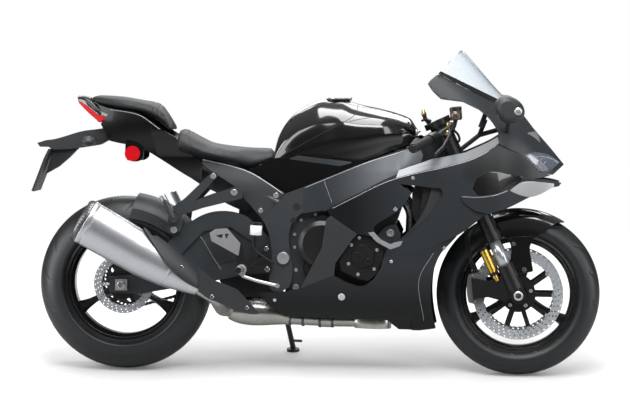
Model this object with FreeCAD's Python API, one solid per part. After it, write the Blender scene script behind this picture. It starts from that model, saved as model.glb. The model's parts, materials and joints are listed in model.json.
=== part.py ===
import FreeCAD, Part
import math
import os

# Sport bike, leaning on its side stand.
# Everything is modelled upright: +X forward from the rear axle, +Y to the rider's left, +Z up
# from the ground, in millimetres. At the end the whole bike is leaned onto its stand and moved
# so that the origin is under the middle of its box. Side views are lists of (x, z).

V = FreeCAD.Vector
ORIGIN = V(0, 0, 0)
ALONG_Y = V(0, 1, 0)

# Chassis
WHEELBASE = 1450.0
LEAN = 10.0
RAKE = 25.0
FORK_OFFSET = 32.0
PIVOT_X = 598.0
PIVOT_Z = 433.0
CLEARANCE = 5.0
FIT = 0.05
SEAT_GAP = 0.3
ARM_INNER_Y = 117.5
ARM_OUTER_Y = 144.0
ARM_RECESS = 10.0
ENGINE_HALF_W = 146.0
STAND_PIN_R = 8.0
STAND_EYE_R = 17.0
STAND_EYE_T = 14.0
TANK_TUBE_R = 12.0

# Wheels
FRONT_R = 300.0
FRONT_TYRE_W = 120.0
REAR_R = 320.0
REAR_TYRE_W = 190.0
BEAD_R = 216.0
FLANGE_R = 228.0
RIM_WALL = 6.0
RIM_HOLE_R = 190.0
FRONT_RIM_W = 92.0
REAR_RIM_W = 150.0
SPOKES = 3
TYRE_WALL = 9.0
BEAD_W = 12.0
RIM_LIP = 6.0
BEAD_SEAT_W = 16.0
CROWN_R_FRONT = 62.0
CROWN_R_REAR = 96.0

# Brakes and drive
FRONT_DISC_R = 165.0
FRONT_DISC_BAND = 35.0
FRONT_DISC_Y = 70.0
REAR_DISC_R = 110.0
REAR_DISC_BAND = 28.0
REAR_DISC_Y = 84.0
DISC_T = 5.0
CHAIN_Y = 109.0
CHAIN_W = 15.0
CHAIN_PITCH = 15.875
REAR_TEETH = 41
FRONT_TEETH = 17
FRONT_SPROCKET_X = 668.0
FRONT_SPROCKET_Z = 446.0

# Fork and bars
LEG_Y = 107.0
FORK_OUTER_R = 27.5
FORK_INNER_R = 21.5
FORK_TOP_Z = 932.0
FORK_LIP_Z = 500.0
STEM_R = 15.0
HEAD_R = 36.0
HEAD_LOW_Z = 748.0
YOKE_T = 22.0
YOKE_GAP = 6.0
CLIP_LOW_Z = 880.0
CLIP_HIGH_Z = 898.0
TOP_YOKE_Z = 904.0
HEAD_HIGH_Z = 866.0
AXLE_R = 12.0
AXLE_BORE_R = 8.0
STEM_BORE_R = 9.0
STEM_BORE_DEPTH = 60.0

# Bodywork
PANEL_T = 4.0
SCREEN_T = 3.0
NOSE_BASE_Z = 740.0


# Side stand: pivot, foot and the way its pin points
STAND_PIVOT = V(556, 189, 290)
STAND_FOOT = V(604, 268, 58)
STAND_AXIS = V(0.095, 0.910, 0.403).normalize()
# How far the round tyre shoulders reach below the line that the wheels lean about
TYRE_DROP = 1.5


def mirrored(shape):
    """The same shape on the rider's left."""
    return shape.mirror(ORIGIN, ALONG_Y)


def pair(shape):
    """Right and left pieces that don't touch, as one shape."""
    return Part.makeCompound([shape, mirrored(shape)])


def biggest(shape):
    """The largest solid of a cut shape, without the crumbs."""
    return max(shape.Solids, key=lambda solid: solid.Volume)


def fused(shapes):
    """Shapes joined into one solid."""
    first = shapes[0]
    joined = first.fuse(shapes[1:]) if len(shapes) > 1 else first
    return joined.removeSplitter()


def outline(start, *runs):
    """Closed side-view wire. A run of one point is a straight line, a longer run a smooth curve."""
    edges = []
    here = start
    for run in runs:
        points = [V(x, 0, z) for x, z in [here] + list(run)]
        if len(points) == 2:
            edges.append(Part.LineSegment(points[0], points[1]).toShape())
        else:
            curve = Part.BSplineCurve()
            curve.interpolate(points)
            edges.append(curve.toShape())
        here = run[-1]
    if here != start:
        edges.append(Part.LineSegment(V(here[0], 0, here[1]), V(start[0], 0, start[1])).toShape())
    return Part.Wire(edges)


def polygon(*corners):
    """Closed side-view wire with straight sides."""
    return outline(corners[0], *[[corner] for corner in corners[1:]])


def slab(wire, y_from, y_to):
    """Side-view wire filled and extruded across the bike."""
    face = Part.Face(wire)
    face.translate(V(0, y_from, 0))
    return face.extrude(V(0, y_to - y_from, 0))


def disc(x, z, radius, y_from, y_to):
    """Round boss across the bike."""
    return Part.makeCylinder(radius, abs(y_to - y_from), V(x, min(y_from, y_to), z), ALONG_Y)


def rod(start, end, radius):
    """Straight round bar between two points."""
    start, end = V(*start), V(*end)
    return Part.makeCylinder(radius, (end - start).Length, start, end - start)


def bent_path(points, bend):
    """Straight runs joined by tangent arcs of one radius, or less where the runs are short."""
    points = [V(*p) for p in points]
    edges = []
    here = points[0]
    for before, corner, after in zip(points, points[1:], points[2:]):
        into = (corner - before).normalize()
        away = (after - corner).normalize()
        half_turn = into.getAngle(away) / 2
        room = 0.45 * min((corner - before).Length, (after - corner).Length)
        cut = min(bend * math.tan(half_turn), room)
        first = corner - into * cut
        last = corner + away * cut
        radius = cut / math.tan(half_turn)
        centre_way = (away - into).normalize()
        middle = corner + centre_way * (radius / math.cos(half_turn) - radius)
        edges.append(Part.LineSegment(here, first).toShape())
        edges.append(Part.Arc(first, middle, last).toShape())
        here = last
    edges.append(Part.LineSegment(here, points[-1]).toShape())
    return Part.Wire(edges)


def pipe(points, radius, bend=60.0):
    """Solid round bar along straight runs and arcs."""
    path = bent_path(points, bend)
    start, towards = V(*points[0]), V(*points[1]) - V(*points[0])
    ring = Part.Wire(Part.makeCircle(radius, start, towards))
    return path.makePipeShell([ring], True, False)


def turned(profile, x=0.0, z=0.0):
    """Solid of revolution about a line across the bike, from points of (radius, y)."""
    points = [V(r, y, 0) for r, y in profile]
    face = Part.Face(Part.makePolygon(points + points[:1]))
    solid = face.revolve(ORIGIN, ALONG_Y, 360)
    solid.translate(V(x, 0, z))
    return solid


def turned_wire(edges, x=0.0, z=0.0):
    """Solid of revolution about a line across the bike, from edges in the plane of (radius, y)."""
    solid = Part.Face(Part.Wire(edges)).revolve(ORIGIN, ALONG_Y, 360)
    solid.translate(V(x, 0, z))
    return solid


def flat_curve(points):
    """Smooth edge through points of (radius, y)."""
    curve = Part.BSplineCurve()
    curve.interpolate([V(r, y, 0) for r, y in points])
    return curve.toShape()


def flat_line(a, b):
    """Straight edge between two points of (radius, y)."""
    return Part.LineSegment(V(a[0], a[1], 0), V(b[0], b[1], 0)).toShape()


def blend_through(stops, x):
    """Smooth value at x through (x, value) stops in rising order, with no overshoot."""
    if x <= stops[0][0]:
        return stops[0][1]
    if x >= stops[-1][0]:
        return stops[-1][1]
    slopes = [(b[1] - a[1]) / (b[0] - a[0]) for a, b in zip(stops, stops[1:])]
    tangents = [slopes[0]]
    for left, right in zip(slopes, slopes[1:]):
        tangents.append(0.0 if left * right <= 0 else 2 * left * right / (left + right))
    tangents.append(slopes[-1])
    for i, (a, b) in enumerate(zip(stops, stops[1:])):
        if x <= b[0]:
            span = b[0] - a[0]
            t = (x - a[0]) / span
            rise = a[1] * (2 * t**3 - 3 * t**2 + 1) + b[1] * (3 * t**2 - 2 * t**3)
            return rise + span * (tangents[i] * (t**3 - 2 * t**2 + t) + tangents[i + 1] * (t**3 - t**2))
    return stops[-1][1]


def spread(low, high, count):
    """Evenly spaced values."""
    return [low + (high - low) * i / (count - 1) for i in range(count)]


def skin(half_width, x_span, z_span, thickness, grid=(12, 8), inset=0.0):
    """Right-hand sheet of one thickness whose outer face lies at y = -half_width(x, z) + inset."""
    rows = []
    for x in spread(*x_span, grid[0]):
        rows.append([V(x, inset - half_width(x, z), z) for z in spread(*z_span, grid[1])])
    surface = Part.BSplineSurface()
    surface.interpolate(rows)
    return surface.toShape().extrude(V(0, thickness, 0))


def arch(x, half_width, low_z, top_z, sharpness=1.0, points=9):
    """Closed cross-section: flat underside and a rounded top, from side to side."""
    over = []
    for i in range(points):
        angle = math.pi * i / (points - 1)
        cosine, sine = math.cos(angle), math.sin(angle)
        y = -half_width * math.copysign(abs(cosine) ** sharpness, cosine)
        over.append(V(x, y, low_z + (top_z - low_z) * sine**sharpness))
    curve = Part.BSplineCurve()
    curve.interpolate(over)
    return Part.Wire([curve.toShape(), Part.LineSegment(over[-1], over[0]).toShape()])


def rounded_section(x, low_z, top_z, widths):
    """Closed cross-section through half-widths given from the bottom to the shoulder."""
    levels = spread(low_z, top_z, len(widths) + 1)[:-1]
    right = [V(x, -w, z) for w, z in zip(widths, levels)]
    left = [V(x, w, z) for w, z in zip(widths, levels)][::-1]
    curve = Part.BSplineCurve()
    curve.interpolate(right + [V(x, 0, top_z)] + left)
    return Part.Wire([curve.toShape(), Part.LineSegment(left[-1], right[0]).toShape()])


def loft(wires, ruled=False):
    """Solid through closed sections."""
    return Part.makeLoft(wires, True, ruled)


def steering_x(z):
    """Where the steering axis is at a height."""
    trail_foot = WHEELBASE + FRONT_R * math.tan(math.radians(RAKE))
    return trail_foot - FORK_OFFSET / math.cos(math.radians(RAKE)) - z * math.tan(math.radians(RAKE))


def fork_x(z):
    """Where the fork legs' centre line is at a height."""
    return WHEELBASE - (z - FRONT_R) * math.tan(math.radians(RAKE))


STEER_AXIS = V(-math.sin(math.radians(RAKE)), 0, math.cos(math.radians(RAKE)))


def along_fork(z_from, z_to, y, radius, steering=False):
    """Round piece parallel to the steering axis, on a fork leg or on the axis itself."""
    place = steering_x if steering else fork_x
    return rod((place(z_from), y, z_from), (place(z_to), y, z_to), radius)


# Wheels


def tyre(radius, width, crown, rim_width):
    """Round-shouldered tyre, hollow inside, standing on its two beads."""
    half = width / 2
    bead = rim_width / 2 - RIM_LIP - SEAT_GAP
    shoulder_r = radius - crown * 0.52
    foot = (BEAD_R + SEAT_GAP, -bead)
    lip = (FLANGE_R + 2, -bead)
    outside = [
        lip, (FLANGE_R + 9, -rim_width / 2 - 3), (shoulder_r - 18, -half),
        (shoulder_r + 8, -half * 0.93), (radius - crown * 0.11, -half * 0.5), (radius, 0),
    ]
    outside += [(r, -y) for r, y in outside[-2::-1]]
    inner_half = half - TYRE_WALL
    heel = (BEAD_R + SEAT_GAP, -bead + BEAD_W)
    inside = [
        heel, (FLANGE_R + 4, -bead + BEAD_W - 2), (shoulder_r - 18, -inner_half),
        (radius - crown * 0.2 - TYRE_WALL, -half * 0.5), (radius - TYRE_WALL, 0),
    ]
    inside += [(r, -y) for r, y in inside[-2::-1]]
    return turned_wire([
        flat_line(foot, lip), flat_curve(outside),
        flat_line(outside[-1], (foot[0], -foot[1])), flat_line((foot[0], -foot[1]), inside[-1]),
        flat_curve(inside[::-1]), flat_line(heel, foot),
    ])


def spoke(hub_r, rim_r, hub_w, rim_w, hub_y, rim_y):
    """One hollow-looking cast spoke, slim in the middle and flared at both ends, pointing up."""
    sections = []
    for share, width, depth in ((0.0, 1.25, 1.0), (0.3, 0.72, 0.9), (0.65, 0.66, 0.85), (1.0, 1.35, 1.0)):
        z = hub_r + (rim_r - hub_r) * share
        half_x = (hub_w + (rim_w - hub_w) * share) * width / 2
        half_y = (hub_y + (rim_y - hub_y) * share) * depth
        corner = [V(half_x, half_y * 0.55, z), V(half_x * 0.55, half_y, z)]
        ring = corner + [V(-c.x, c.y, z) for c in corner[::-1]]
        ring += [V(-c.x, -c.y, z) for c in corner] + [V(c.x, -c.y, z) for c in corner[::-1]]
        sections.append(Part.makePolygon(ring + ring[:1]))
    return loft(sections)


def rim(rim_width, hub_r, hub_half, spoke_w):
    """Cast three-spoke wheel: barrel with flanges, hub and spokes."""
    half = rim_width / 2
    well_r = RIM_HOLE_R + RIM_WALL
    barrel = turned([
        (FLANGE_R, -half), (FLANGE_R, -half + RIM_LIP - 1), (FLANGE_R - 3, -half + RIM_LIP),
        (BEAD_R, -half + RIM_LIP), (BEAD_R, -half + RIM_LIP + BEAD_SEAT_W),
        (well_r, -half * 0.34), (well_r, half * 0.34), (BEAD_R, half - RIM_LIP - BEAD_SEAT_W),
        (BEAD_R, half - RIM_LIP), (FLANGE_R - 3, half - RIM_LIP), (FLANGE_R, half - RIM_LIP + 1),
        (FLANGE_R, half), (FLANGE_R - 4, half + 1), (BEAD_R - RIM_WALL, half - 3),
        (BEAD_R - RIM_WALL, half - RIM_LIP - BEAD_SEAT_W), (RIM_HOLE_R, half * 0.32), (RIM_HOLE_R, -half * 0.32),
        (BEAD_R - RIM_WALL, -half + RIM_LIP + BEAD_SEAT_W), (BEAD_R - RIM_WALL, -half + 3), (FLANGE_R - 4, -half - 1),
    ])
    hub = disc(0, 0, hub_r, -hub_half, hub_half)
    pieces = [barrel, hub]
    for i in range(SPOKES):
        arm = spoke(hub_r - 8, RIM_HOLE_R + 2, spoke_w, spoke_w, hub_half * 0.55, half * 0.3)
        arm.rotate(ORIGIN, ALONG_Y, 360.0 * i / SPOKES)
        pieces.append(arm)
    return fused(pieces)


def brake_disc(radius, band, y, holes, hub_r, arms):
    """Thin braking ring on a spider carrier, with a ring of through holes."""
    half = DISC_T / 2
    ring = turned([(radius, y - half), (radius, y + half), (radius - band, y + half), (radius - band, y - half)])
    for i in range(holes):
        angle = 2 * math.pi * i / holes
        at = radius - band * (0.32 if i % 2 else 0.68)
        ring = ring.cut(disc(at * math.cos(angle), at * math.sin(angle), 4.5, y - DISC_T, y + DISC_T))
    carrier = turned([(hub_r + 16, y - half), (hub_r + 16, y + half), (hub_r - 12, y + half), (hub_r - 12, y - half)])
    pieces = [ring, carrier]
    for i in range(arms):
        arm = slab(polygon((-7, hub_r), (7, hub_r), (5, radius - band + 4), (-5, radius - band + 4)), y - half, y + half)
        arm.rotate(ORIGIN, ALONG_Y, 360.0 * i / arms)
        pieces.append(arm)
    return fused(pieces)


def sprocket(teeth, y, thickness, bore):
    """Toothed wheel for the drive chain, with lightening windows."""
    pitch_r = CHAIN_PITCH / (2 * math.sin(math.pi / teeth))
    tip, root = pitch_r - 6.6, pitch_r - 12.0
    ring = []
    for i in range(teeth):
        for share, radius in ((-0.36, root), (-0.14, tip), (0.14, tip), (0.36, root)):
            angle = 2 * math.pi * (i + share) / teeth
            ring.append((radius * math.cos(angle), radius * math.sin(angle)))
    wheel = slab(polygon(*ring), y - thickness / 2, y + thickness / 2)
    wheel = wheel.cut(disc(0, 0, bore, y - thickness, y + thickness))
    return wheel


def chain_loop():
    """Roller chain: two side-plate bands round both sprockets with a roller at every pitch."""
    rear_r = CHAIN_PITCH / (2 * math.sin(math.pi / REAR_TEETH))
    front_r = CHAIN_PITCH / (2 * math.sin(math.pi / FRONT_TEETH))
    rear = V(0, 0, REAR_R)
    front = V(FRONT_SPROCKET_X, 0, FRONT_SPROCKET_Z)
    reach = front - rear
    tilt = math.atan2(reach.z, reach.x)
    flare = math.asin((rear_r - front_r) / reach.Length)

    def band(grow):
        """Closed loop at one distance outside the pitch line."""
        top_way = tilt + math.pi / 2 - flare
        low_way = tilt - math.pi / 2 + flare
        ends = []
        for centre, radius in ((rear, rear_r + grow), (front, front_r + grow)):
            ends.append([centre + V(math.cos(a), 0, math.sin(a)) * radius for a in (top_way, low_way)])
        rear_back = rear - V(math.cos(tilt), 0, math.sin(tilt)) * (rear_r + grow)
        front_nose = front + V(math.cos(tilt), 0, math.sin(tilt)) * (front_r + grow)
        return Part.Wire([
            Part.LineSegment(ends[0][0], ends[1][0]).toShape(),
            Part.Arc(ends[1][0], front_nose, ends[1][1]).toShape(),
            Part.LineSegment(ends[1][1], ends[0][1]).toShape(),
            Part.Arc(ends[0][1], rear_back, ends[0][0]).toShape(),
        ])

    def ribbon(low, high, y_from, y_to):
        """Loop of rectangular section."""
        return slab(band(high), y_from, y_to).cut(slab(band(low), y_from - 1, y_to + 1))

    plate = 3.6
    half = CHAIN_W / 2
    plates = [ribbon(-6.5, 6.5, CHAIN_Y + side * half - (plate if side > 0 else 0),
                     CHAIN_Y + side * half + (0 if side > 0 else plate)) for side in (-1, 1)]
    rollers = ribbon(-3.6, 3.6, CHAIN_Y - half + 1, CHAIN_Y + half - 1)
    return fused([plates[0], rollers, plates[1]])


def at_front(shape):
    """Moved from the origin to the front wheel's centre."""
    shape.translate(V(WHEELBASE, 0, FRONT_R))
    return shape


def at_rear(shape):
    """Moved from the origin to the rear wheel's centre."""
    shape.translate(V(0, 0, REAR_R))
    return shape


def build_wheels():
    """Both wheels with tyres, brake discs and the rear sprocket."""
    front_rim = rim(FRONT_RIM_W, 34, 52, 34)
    front_rim = front_rim.cut(disc(0, 0, AXLE_R + FIT, -200, 200))
    rear_rim = rim(REAR_RIM_W, 44, 62, 38)
    rear_rim = rear_rim.cut(disc(0, 0, AXLE_R + FIT, -200, 200))
    front_discs = []
    for side in (-1, 1):
        plate = brake_disc(FRONT_DISC_R, FRONT_DISC_BAND, side * FRONT_DISC_Y, 24, 48, 10)
        spacer = turned([(46, 0), (46, FRONT_DISC_Y - 52), (32, FRONT_DISC_Y - 52), (32, 0)])
        if side < 0:
            spacer = mirrored(spacer)
        spacer.translate(V(0, side * 52, 0))
        front_discs.append(fused([plate, spacer]))
    rear_plate = brake_disc(REAR_DISC_R, REAR_DISC_BAND, -REAR_DISC_Y, 18, 40, 6)
    rear_boss = turned([(42, -REAR_DISC_Y), (42, -62), (28, -62), (28, -REAR_DISC_Y)])
    carrier = turned([(52, 62), (52, CHAIN_Y - 3.5), (AXLE_R + FIT, CHAIN_Y - 3.5), (AXLE_R + FIT, 62)])
    teeth_wheel = sprocket(REAR_TEETH, CHAIN_Y, 7, 40)
    for i in range(6):
        hole_way = 2 * math.pi * (i + 0.5) / 6
        teeth_wheel = teeth_wheel.cut(disc(70 * math.cos(hole_way), 70 * math.sin(hole_way), 13, CHAIN_Y - 9, CHAIN_Y + 9))
    return {
        "front_rim": at_front(front_rim),
        "front_tyre": at_front(tyre(FRONT_R, FRONT_TYRE_W, CROWN_R_FRONT, FRONT_RIM_W)),
        "front_discs": at_front(Part.makeCompound(front_discs)),
        "rear_rim": at_rear(rear_rim),
        "rear_tyre": at_rear(tyre(REAR_R, REAR_TYRE_W, CROWN_R_REAR, REAR_RIM_W)),
        "rear_disc": at_rear(fused([rear_plate, rear_boss])),
        "rear_sprocket": at_rear(fused([teeth_wheel, carrier])),
    }


# Fork, bars and what turns with them


def fender():
    """Front mudguard: an arched shell round the tyre, cut to its side outline."""
    gap = 13.8
    crown = FRONT_R + gap
    half = FRONT_TYRE_W / 2 + 11.5
    profile = [(190, -half), (crown - 62, -half), (crown - 17, -half * 0.8), (crown, 0)]
    profile += [(r, -y) for r, y in profile[-2::-1]]
    inner = [(190, -half + PANEL_T), (crown - 62, -half + PANEL_T), (crown - 17 - PANEL_T, -half * 0.77),
             (crown - PANEL_T, 0)]
    inner += [(r, -y) for r, y in inner[-2::-1]]
    shell = turned_wire([
        flat_curve(profile), flat_line(profile[-1], inner[-1]),
        flat_curve(inner[::-1]), flat_line(inner[0], profile[0]),
    ], WHEELBASE, FRONT_R)
    side_view = outline(
        (1345, 660), [(1660, 660)], [(1640, 562)], [(1600, 566), (1572, 556), (1540, 532)],
        [(1509, 506)], [(1450, 500), (1420, 500), (1398, 506)], [(1372, 556)], [(1340, 606)])
    return shell.common(slab(side_view, -half - 5, half + 5))


def fender_stay():
    """Bracket from the fender's side down to the fork bottom."""
    plate = slab(outline((1408, 508), [(1509, 518)], [(1490, 474), (1496, 430), (1504, 386)],
                         [(1408, 366)], [(1420, 430), (1422, 474), (1408, 508)]), -85, -79)
    boss = disc(1442, 514, 8, -85, -FRONT_TYRE_W / 2 - 8)
    return fused([plate, boss])


def caliper():
    """Radial-mount caliper straddling the front disc, behind the fork leg."""
    body = slab(outline((1268, 372), [(1300, 380)], [(1326, 368)], [(1330, 320), (1326, 275)],
                        [(1300, 263)], [(1270, 270)], [(1262, 320), (1268, 372)]), -LEG_Y + 3, -53)
    slot = disc(WHEELBASE, FRONT_R, FRONT_DISC_R + CLEARANCE,
                -FRONT_DISC_Y - DISC_T / 2 - CLEARANCE, -FRONT_DISC_Y + DISC_T / 2 + CLEARANCE)
    return body.cut(slot)


def fork_leg(y):
    """Chromed inner tube, axle clamp and caliper lugs of one leg."""
    tube = along_fork(400, FORK_LIP_Z + 60, y, FORK_INNER_R)
    foot = along_fork(300, 408, y, 29)
    clamp = disc(WHEELBASE, FRONT_R, 30, y - 26, y + 26)
    lug_x = fork_x(330)
    lug = slab(polygon((lug_x - 158, 362), (lug_x - 92, 350), (lug_x - 8, 388), (lug_x + 6, 300), (lug_x - 30, 276),
                       (lug_x - 96, 292), (lug_x - 150, 284)),
               y - 9 if y < 0 else y - 3, y + 3 if y < 0 else y + 9)
    return [tube, foot, clamp, lug]


def build_steering():
    """Everything that turns with the handlebars apart from the wheel."""
    outer = along_fork(FORK_LIP_Z, FORK_TOP_Z, -LEG_Y, FORK_OUTER_R)
    lip = along_fork(FORK_LIP_Z, FORK_LIP_Z + 26, -LEG_Y, FORK_OUTER_R + 3)
    bore = along_fork(FORK_LIP_Z - 5, FORK_LIP_Z + 62, -LEG_Y, FORK_INNER_R + 0.05)
    outer = fused([outer, lip]).cut(bore)
    axle = disc(WHEELBASE, FRONT_R, AXLE_R, -LEG_Y - 30, LEG_Y + 30)
    nut = disc(WHEELBASE, FRONT_R, 17, -LEG_Y - 30, -LEG_Y - 24)
    legs = fused(fork_leg(-LEG_Y) + fork_leg(LEG_Y) + [axle, nut])
    legs = legs.cut(disc(WHEELBASE, FRONT_R, AXLE_BORE_R, -LEG_Y - 40, LEG_Y + 40))
    caliper_right = caliper()
    calipers = Part.makeCompound([caliper_right.cut(legs), mirrored(caliper_right).cut(legs)])

    gas = along_fork(372, 470, 0, 16)
    gas.translate(V(1318 - fork_x(470), -LEG_Y + 2, 0))
    gas_cap = along_fork(352, 374, 0, 12)
    gas_cap.translate(V(1318 - fork_x(470), -LEG_Y + 2, 0))
    gas_link = rod((1382, -LEG_Y, 352), (1366, -LEG_Y + 2, 358), 9)
    gas_unit = fused([gas, gas_cap, gas_link]).cut(legs)
    gas_cylinders = pair(gas_unit.cut(caliper_right))

    def yoke(z):
        """Plate square to the steering axis, holding both legs and the stem."""
        legs_and_stem = [(FORK_OFFSET, -LEG_Y, FORK_OUTER_R + 9), (FORK_OFFSET, LEG_Y, FORK_OUTER_R + 9), (0, 0, 30)]
        parts = [Part.makeCylinder(r, YOKE_T, V(x, y, 0)) for x, y, r in legs_and_stem]
        web = [(-24, -30), (FORK_OFFSET - 20, -LEG_Y - 20), (FORK_OFFSET + 30, -LEG_Y + 10), (FORK_OFFSET + 22, 0)]
        web += [(x, -y) for x, y in web[-2::-1]]
        corners = [V(x, y, 0) for x, y in web]
        parts.append(Part.Face(Part.makePolygon(corners + corners[:1])).extrude(V(0, 0, YOKE_T)))
        plate = fused(parts)
        plate.rotate(ORIGIN, ALONG_Y, -RAKE)
        plate.translate(V(steering_x(z), 0, z))
        return plate

    drop = (YOKE_T + YOKE_GAP) * math.cos(math.radians(RAKE))
    stem = along_fork(HEAD_LOW_Z - drop, TOP_YOKE_Z + 10, 0, STEM_R, steering=True)
    yokes = fused([yoke(HEAD_LOW_Z - drop), yoke(TOP_YOKE_Z), stem])
    bore_top = HEAD_LOW_Z - drop + STEM_BORE_DEPTH * math.cos(math.radians(RAKE))
    yokes = yokes.cut(along_fork(HEAD_LOW_Z - 90, bore_top, 0, STEM_BORE_R, steering=True))
    for y in (-LEG_Y, LEG_Y):
        yokes = yokes.cut(along_fork(HEAD_LOW_Z - 90, FORK_TOP_Z + 30, y, FORK_OUTER_R + FIT))

    clip_z = (CLIP_LOW_Z + CLIP_HIGH_Z) / 2
    bar_in = V(fork_x(clip_z) - 4, -LEG_Y - 20, clip_z)
    bar_out = V(1066, -345, 836)
    bar_way = (bar_out - bar_in).normalize()
    ring = along_fork(CLIP_LOW_Z, CLIP_HIGH_Z, -LEG_Y, FORK_OUTER_R + 8)
    ring = ring.cut(along_fork(CLIP_LOW_Z - 20, CLIP_HIGH_Z + 20, -LEG_Y, FORK_OUTER_R + FIT))
    bar = rod(tuple(bar_in), tuple(bar_out - bar_way * 8), 11)
    bar = bar.cut(along_fork(CLIP_LOW_Z - 30, CLIP_HIGH_Z + 30, -LEG_Y, FORK_OUTER_R + FIT))
    bar = fused([ring, bar])
    grip_in = bar_out - bar_way * 128
    grip_solid = rod(tuple(grip_in), tuple(bar_out), 17)
    grip_solid = grip_solid.cut(rod(tuple(grip_in - bar_way), tuple(bar_out - bar_way * 8), 11))
    pod_in = grip_in - bar_way * 58
    pod = rod(tuple(pod_in), tuple(grip_in - bar_way * 4), 20)
    master = rod(tuple(pod_in + V(14, 0, 10)), (1200, -150, 912), 12)
    mount = rod(tuple(pod_in), tuple(pod_in + V(20, 0, 12)), 12)
    lever = pipe([(1192, -160, 908), (1196, -215, 884), (1174, -296, 842), (1146, -350, 814)], 6, 60)
    cup_post = rod((1206, -156, 906), (1215, -159, 943), 7)
    cup = Part.makeCylinder(20, 46, V(1216, -160, 936), V(-0.1, 0, 1))
    lever_set = fused([pod, mount, master, lever, cup_post, cup])
    lever_set = lever_set.cut(rod(tuple(bar_in - bar_way * 5), tuple(bar_out), 11)).cut(grip_solid)

    stay = fender_stay()
    guard = fused([fender(), biggest(stay.cut(legs)), biggest(mirrored(stay).cut(legs))])
    return {
        "fork_outer_tubes": pair(outer),
        "fork_legs": legs,
        "gas_cylinders": gas_cylinders,
        "triple_clamps": yokes,
        "handlebars": pair(bar),
        "grips": pair(grip_solid),
        "lever_sets": pair(lever_set),
        "front_fender": guard,
        "front_calipers": calipers,
    }


# Frame, engine and running gear


def spar_half_width(x, z):
    """The twin spars run out from the head, widest beside the cylinders."""
    return blend_through([(510, 172), (640, 176), (860, 188), (1000, 170), (1100, 96), (1150, 52), (1215, 44)], x)


def build_frame():
    """Twin-spar frame with pivot plates and steering head, and the tube seat frame."""
    spar_view = outline(
        (515, 568), [(600, 662)], [(745, 720), (900, 785), (1045, 832)], [(1095, 841)],
        [(1142, 844)], [(1197, 757)], [(1150, 746), (1060, 735), (1000, 715)],
        [(900, 680), (850, 655), (745, 600)], [(655, 588), (620, 540), (615, 480), (625, 420), (615, 320)],
        [(585, 304)], [(555, 310), (550, 400), (545, 500), (515, 568)])
    spar = skin(spar_half_width, (500, 1240), (290, 900), 26, (14, 3)).common(slab(spar_view, -260, 0))
    head = along_fork(HEAD_LOW_Z, HEAD_HIGH_Z, 0, HEAD_R, steering=True)
    cross_tubes = [rod((572, -160, 596), (572, 160, 596), 18), rod((590, -160, 330), (590, 160, 330), 14)]
    for x in (860, 1010):
        height = blend_through(TANK_LOW, x) - TANK_TUBE_R - SEAT_GAP
        reach = spar_half_width(x, height) - 8
        cross_tubes.append(rod((x, -reach, height), (x, reach, height), TANK_TUBE_R))
    for side in (-1, 1):
        cowl_y = side_half_width(922, 664) - PANEL_T / 2
        cross_tubes.append(rod((920, side * 176, 704), (922, side * 190, 664), 8))
        cross_tubes.append(disc(922, 664, 7, side * 188, side * cowl_y))
        cross_tubes.append(disc(950, 700, 12, side * ENGINE_HALF_W, side * 162))
    gusset = slab(polygon((1092, 834), (1144, 846), (1198, 757), (1130, 752)), -45, 45)
    pivot = disc(PIVOT_X, PIVOT_Z, 14, -180, 180)
    nuts = [disc(PIVOT_X, PIVOT_Z, 24, side * 170, side * 180) for side in (-1, 1)]
    lug_base = STAND_PIVOT - STAND_AXIS * (STAND_EYE_T / 2 + SEAT_GAP)
    lug = Part.makeCylinder(STAND_EYE_R, 8, lug_base - STAND_AXIS * 8, STAND_AXIS)
    lug_root = rod((556, 160, 320), tuple(lug_base - STAND_AXIS * 3), 13)
    lug_root = lug_root.cut(Part.makeCylinder(60, 60, lug_base, STAND_AXIS))
    stand_pin = Part.makeCylinder(STAND_PIN_R, 30, STAND_PIVOT - STAND_AXIS * 18, STAND_AXIS)
    whole = fused([spar, mirrored(spar), head, gusset, lug, lug_root, stand_pin] + cross_tubes + [pivot] + nuts)
    frame = whole.cut(along_fork(HEAD_LOW_Z - 20, HEAD_HIGH_Z + 20, 0, STEM_R + FIT, steering=True))

    rail = pipe([(578, -152, 626), (430, -110, 700), (320, -96, 740), (210, -80, 774), (60, -68, 866), (-56, -48, 900)], 12, 200)
    ties = [rod((320, -96, 740), (320, 96, 740), 10), rod((60, -68, 866), (60, 68, 866), 10),
            rod((-50, -48, 898), (-50, 48, 898), 10)]
    for side in (-1, 1):
        ties.append(rod((20, side * 58, 880), (20, side * 58, 836), 7))
        cover_y = tail_half_width(430, 702) - PANEL_T / 2
        ties.append(rod((430, side * 108, 702), (430, side * cover_y, 702), 8))
    seat_frame = fused([rail, mirrored(rail)] + ties)
    return {"main_frame": frame, "subframe": seat_frame.cut(frame)}


def engine_cover(x, z, radius, y_face, y_out, dome=0.82):
    """Round cast cover with a bevelled edge, on the right-hand side."""
    return turned([(0.01, -y_face), (radius, -y_face), (radius, -y_out + 12), (radius * dome, -y_out), (0.01, -y_out)], x, z)


MUFFLER_START = V(292, -198, 316)
MUFFLER_END = V(-142, -238, 566)
MUFFLER_WAY = (MUFFLER_END - MUFFLER_START).normalize()


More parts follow.
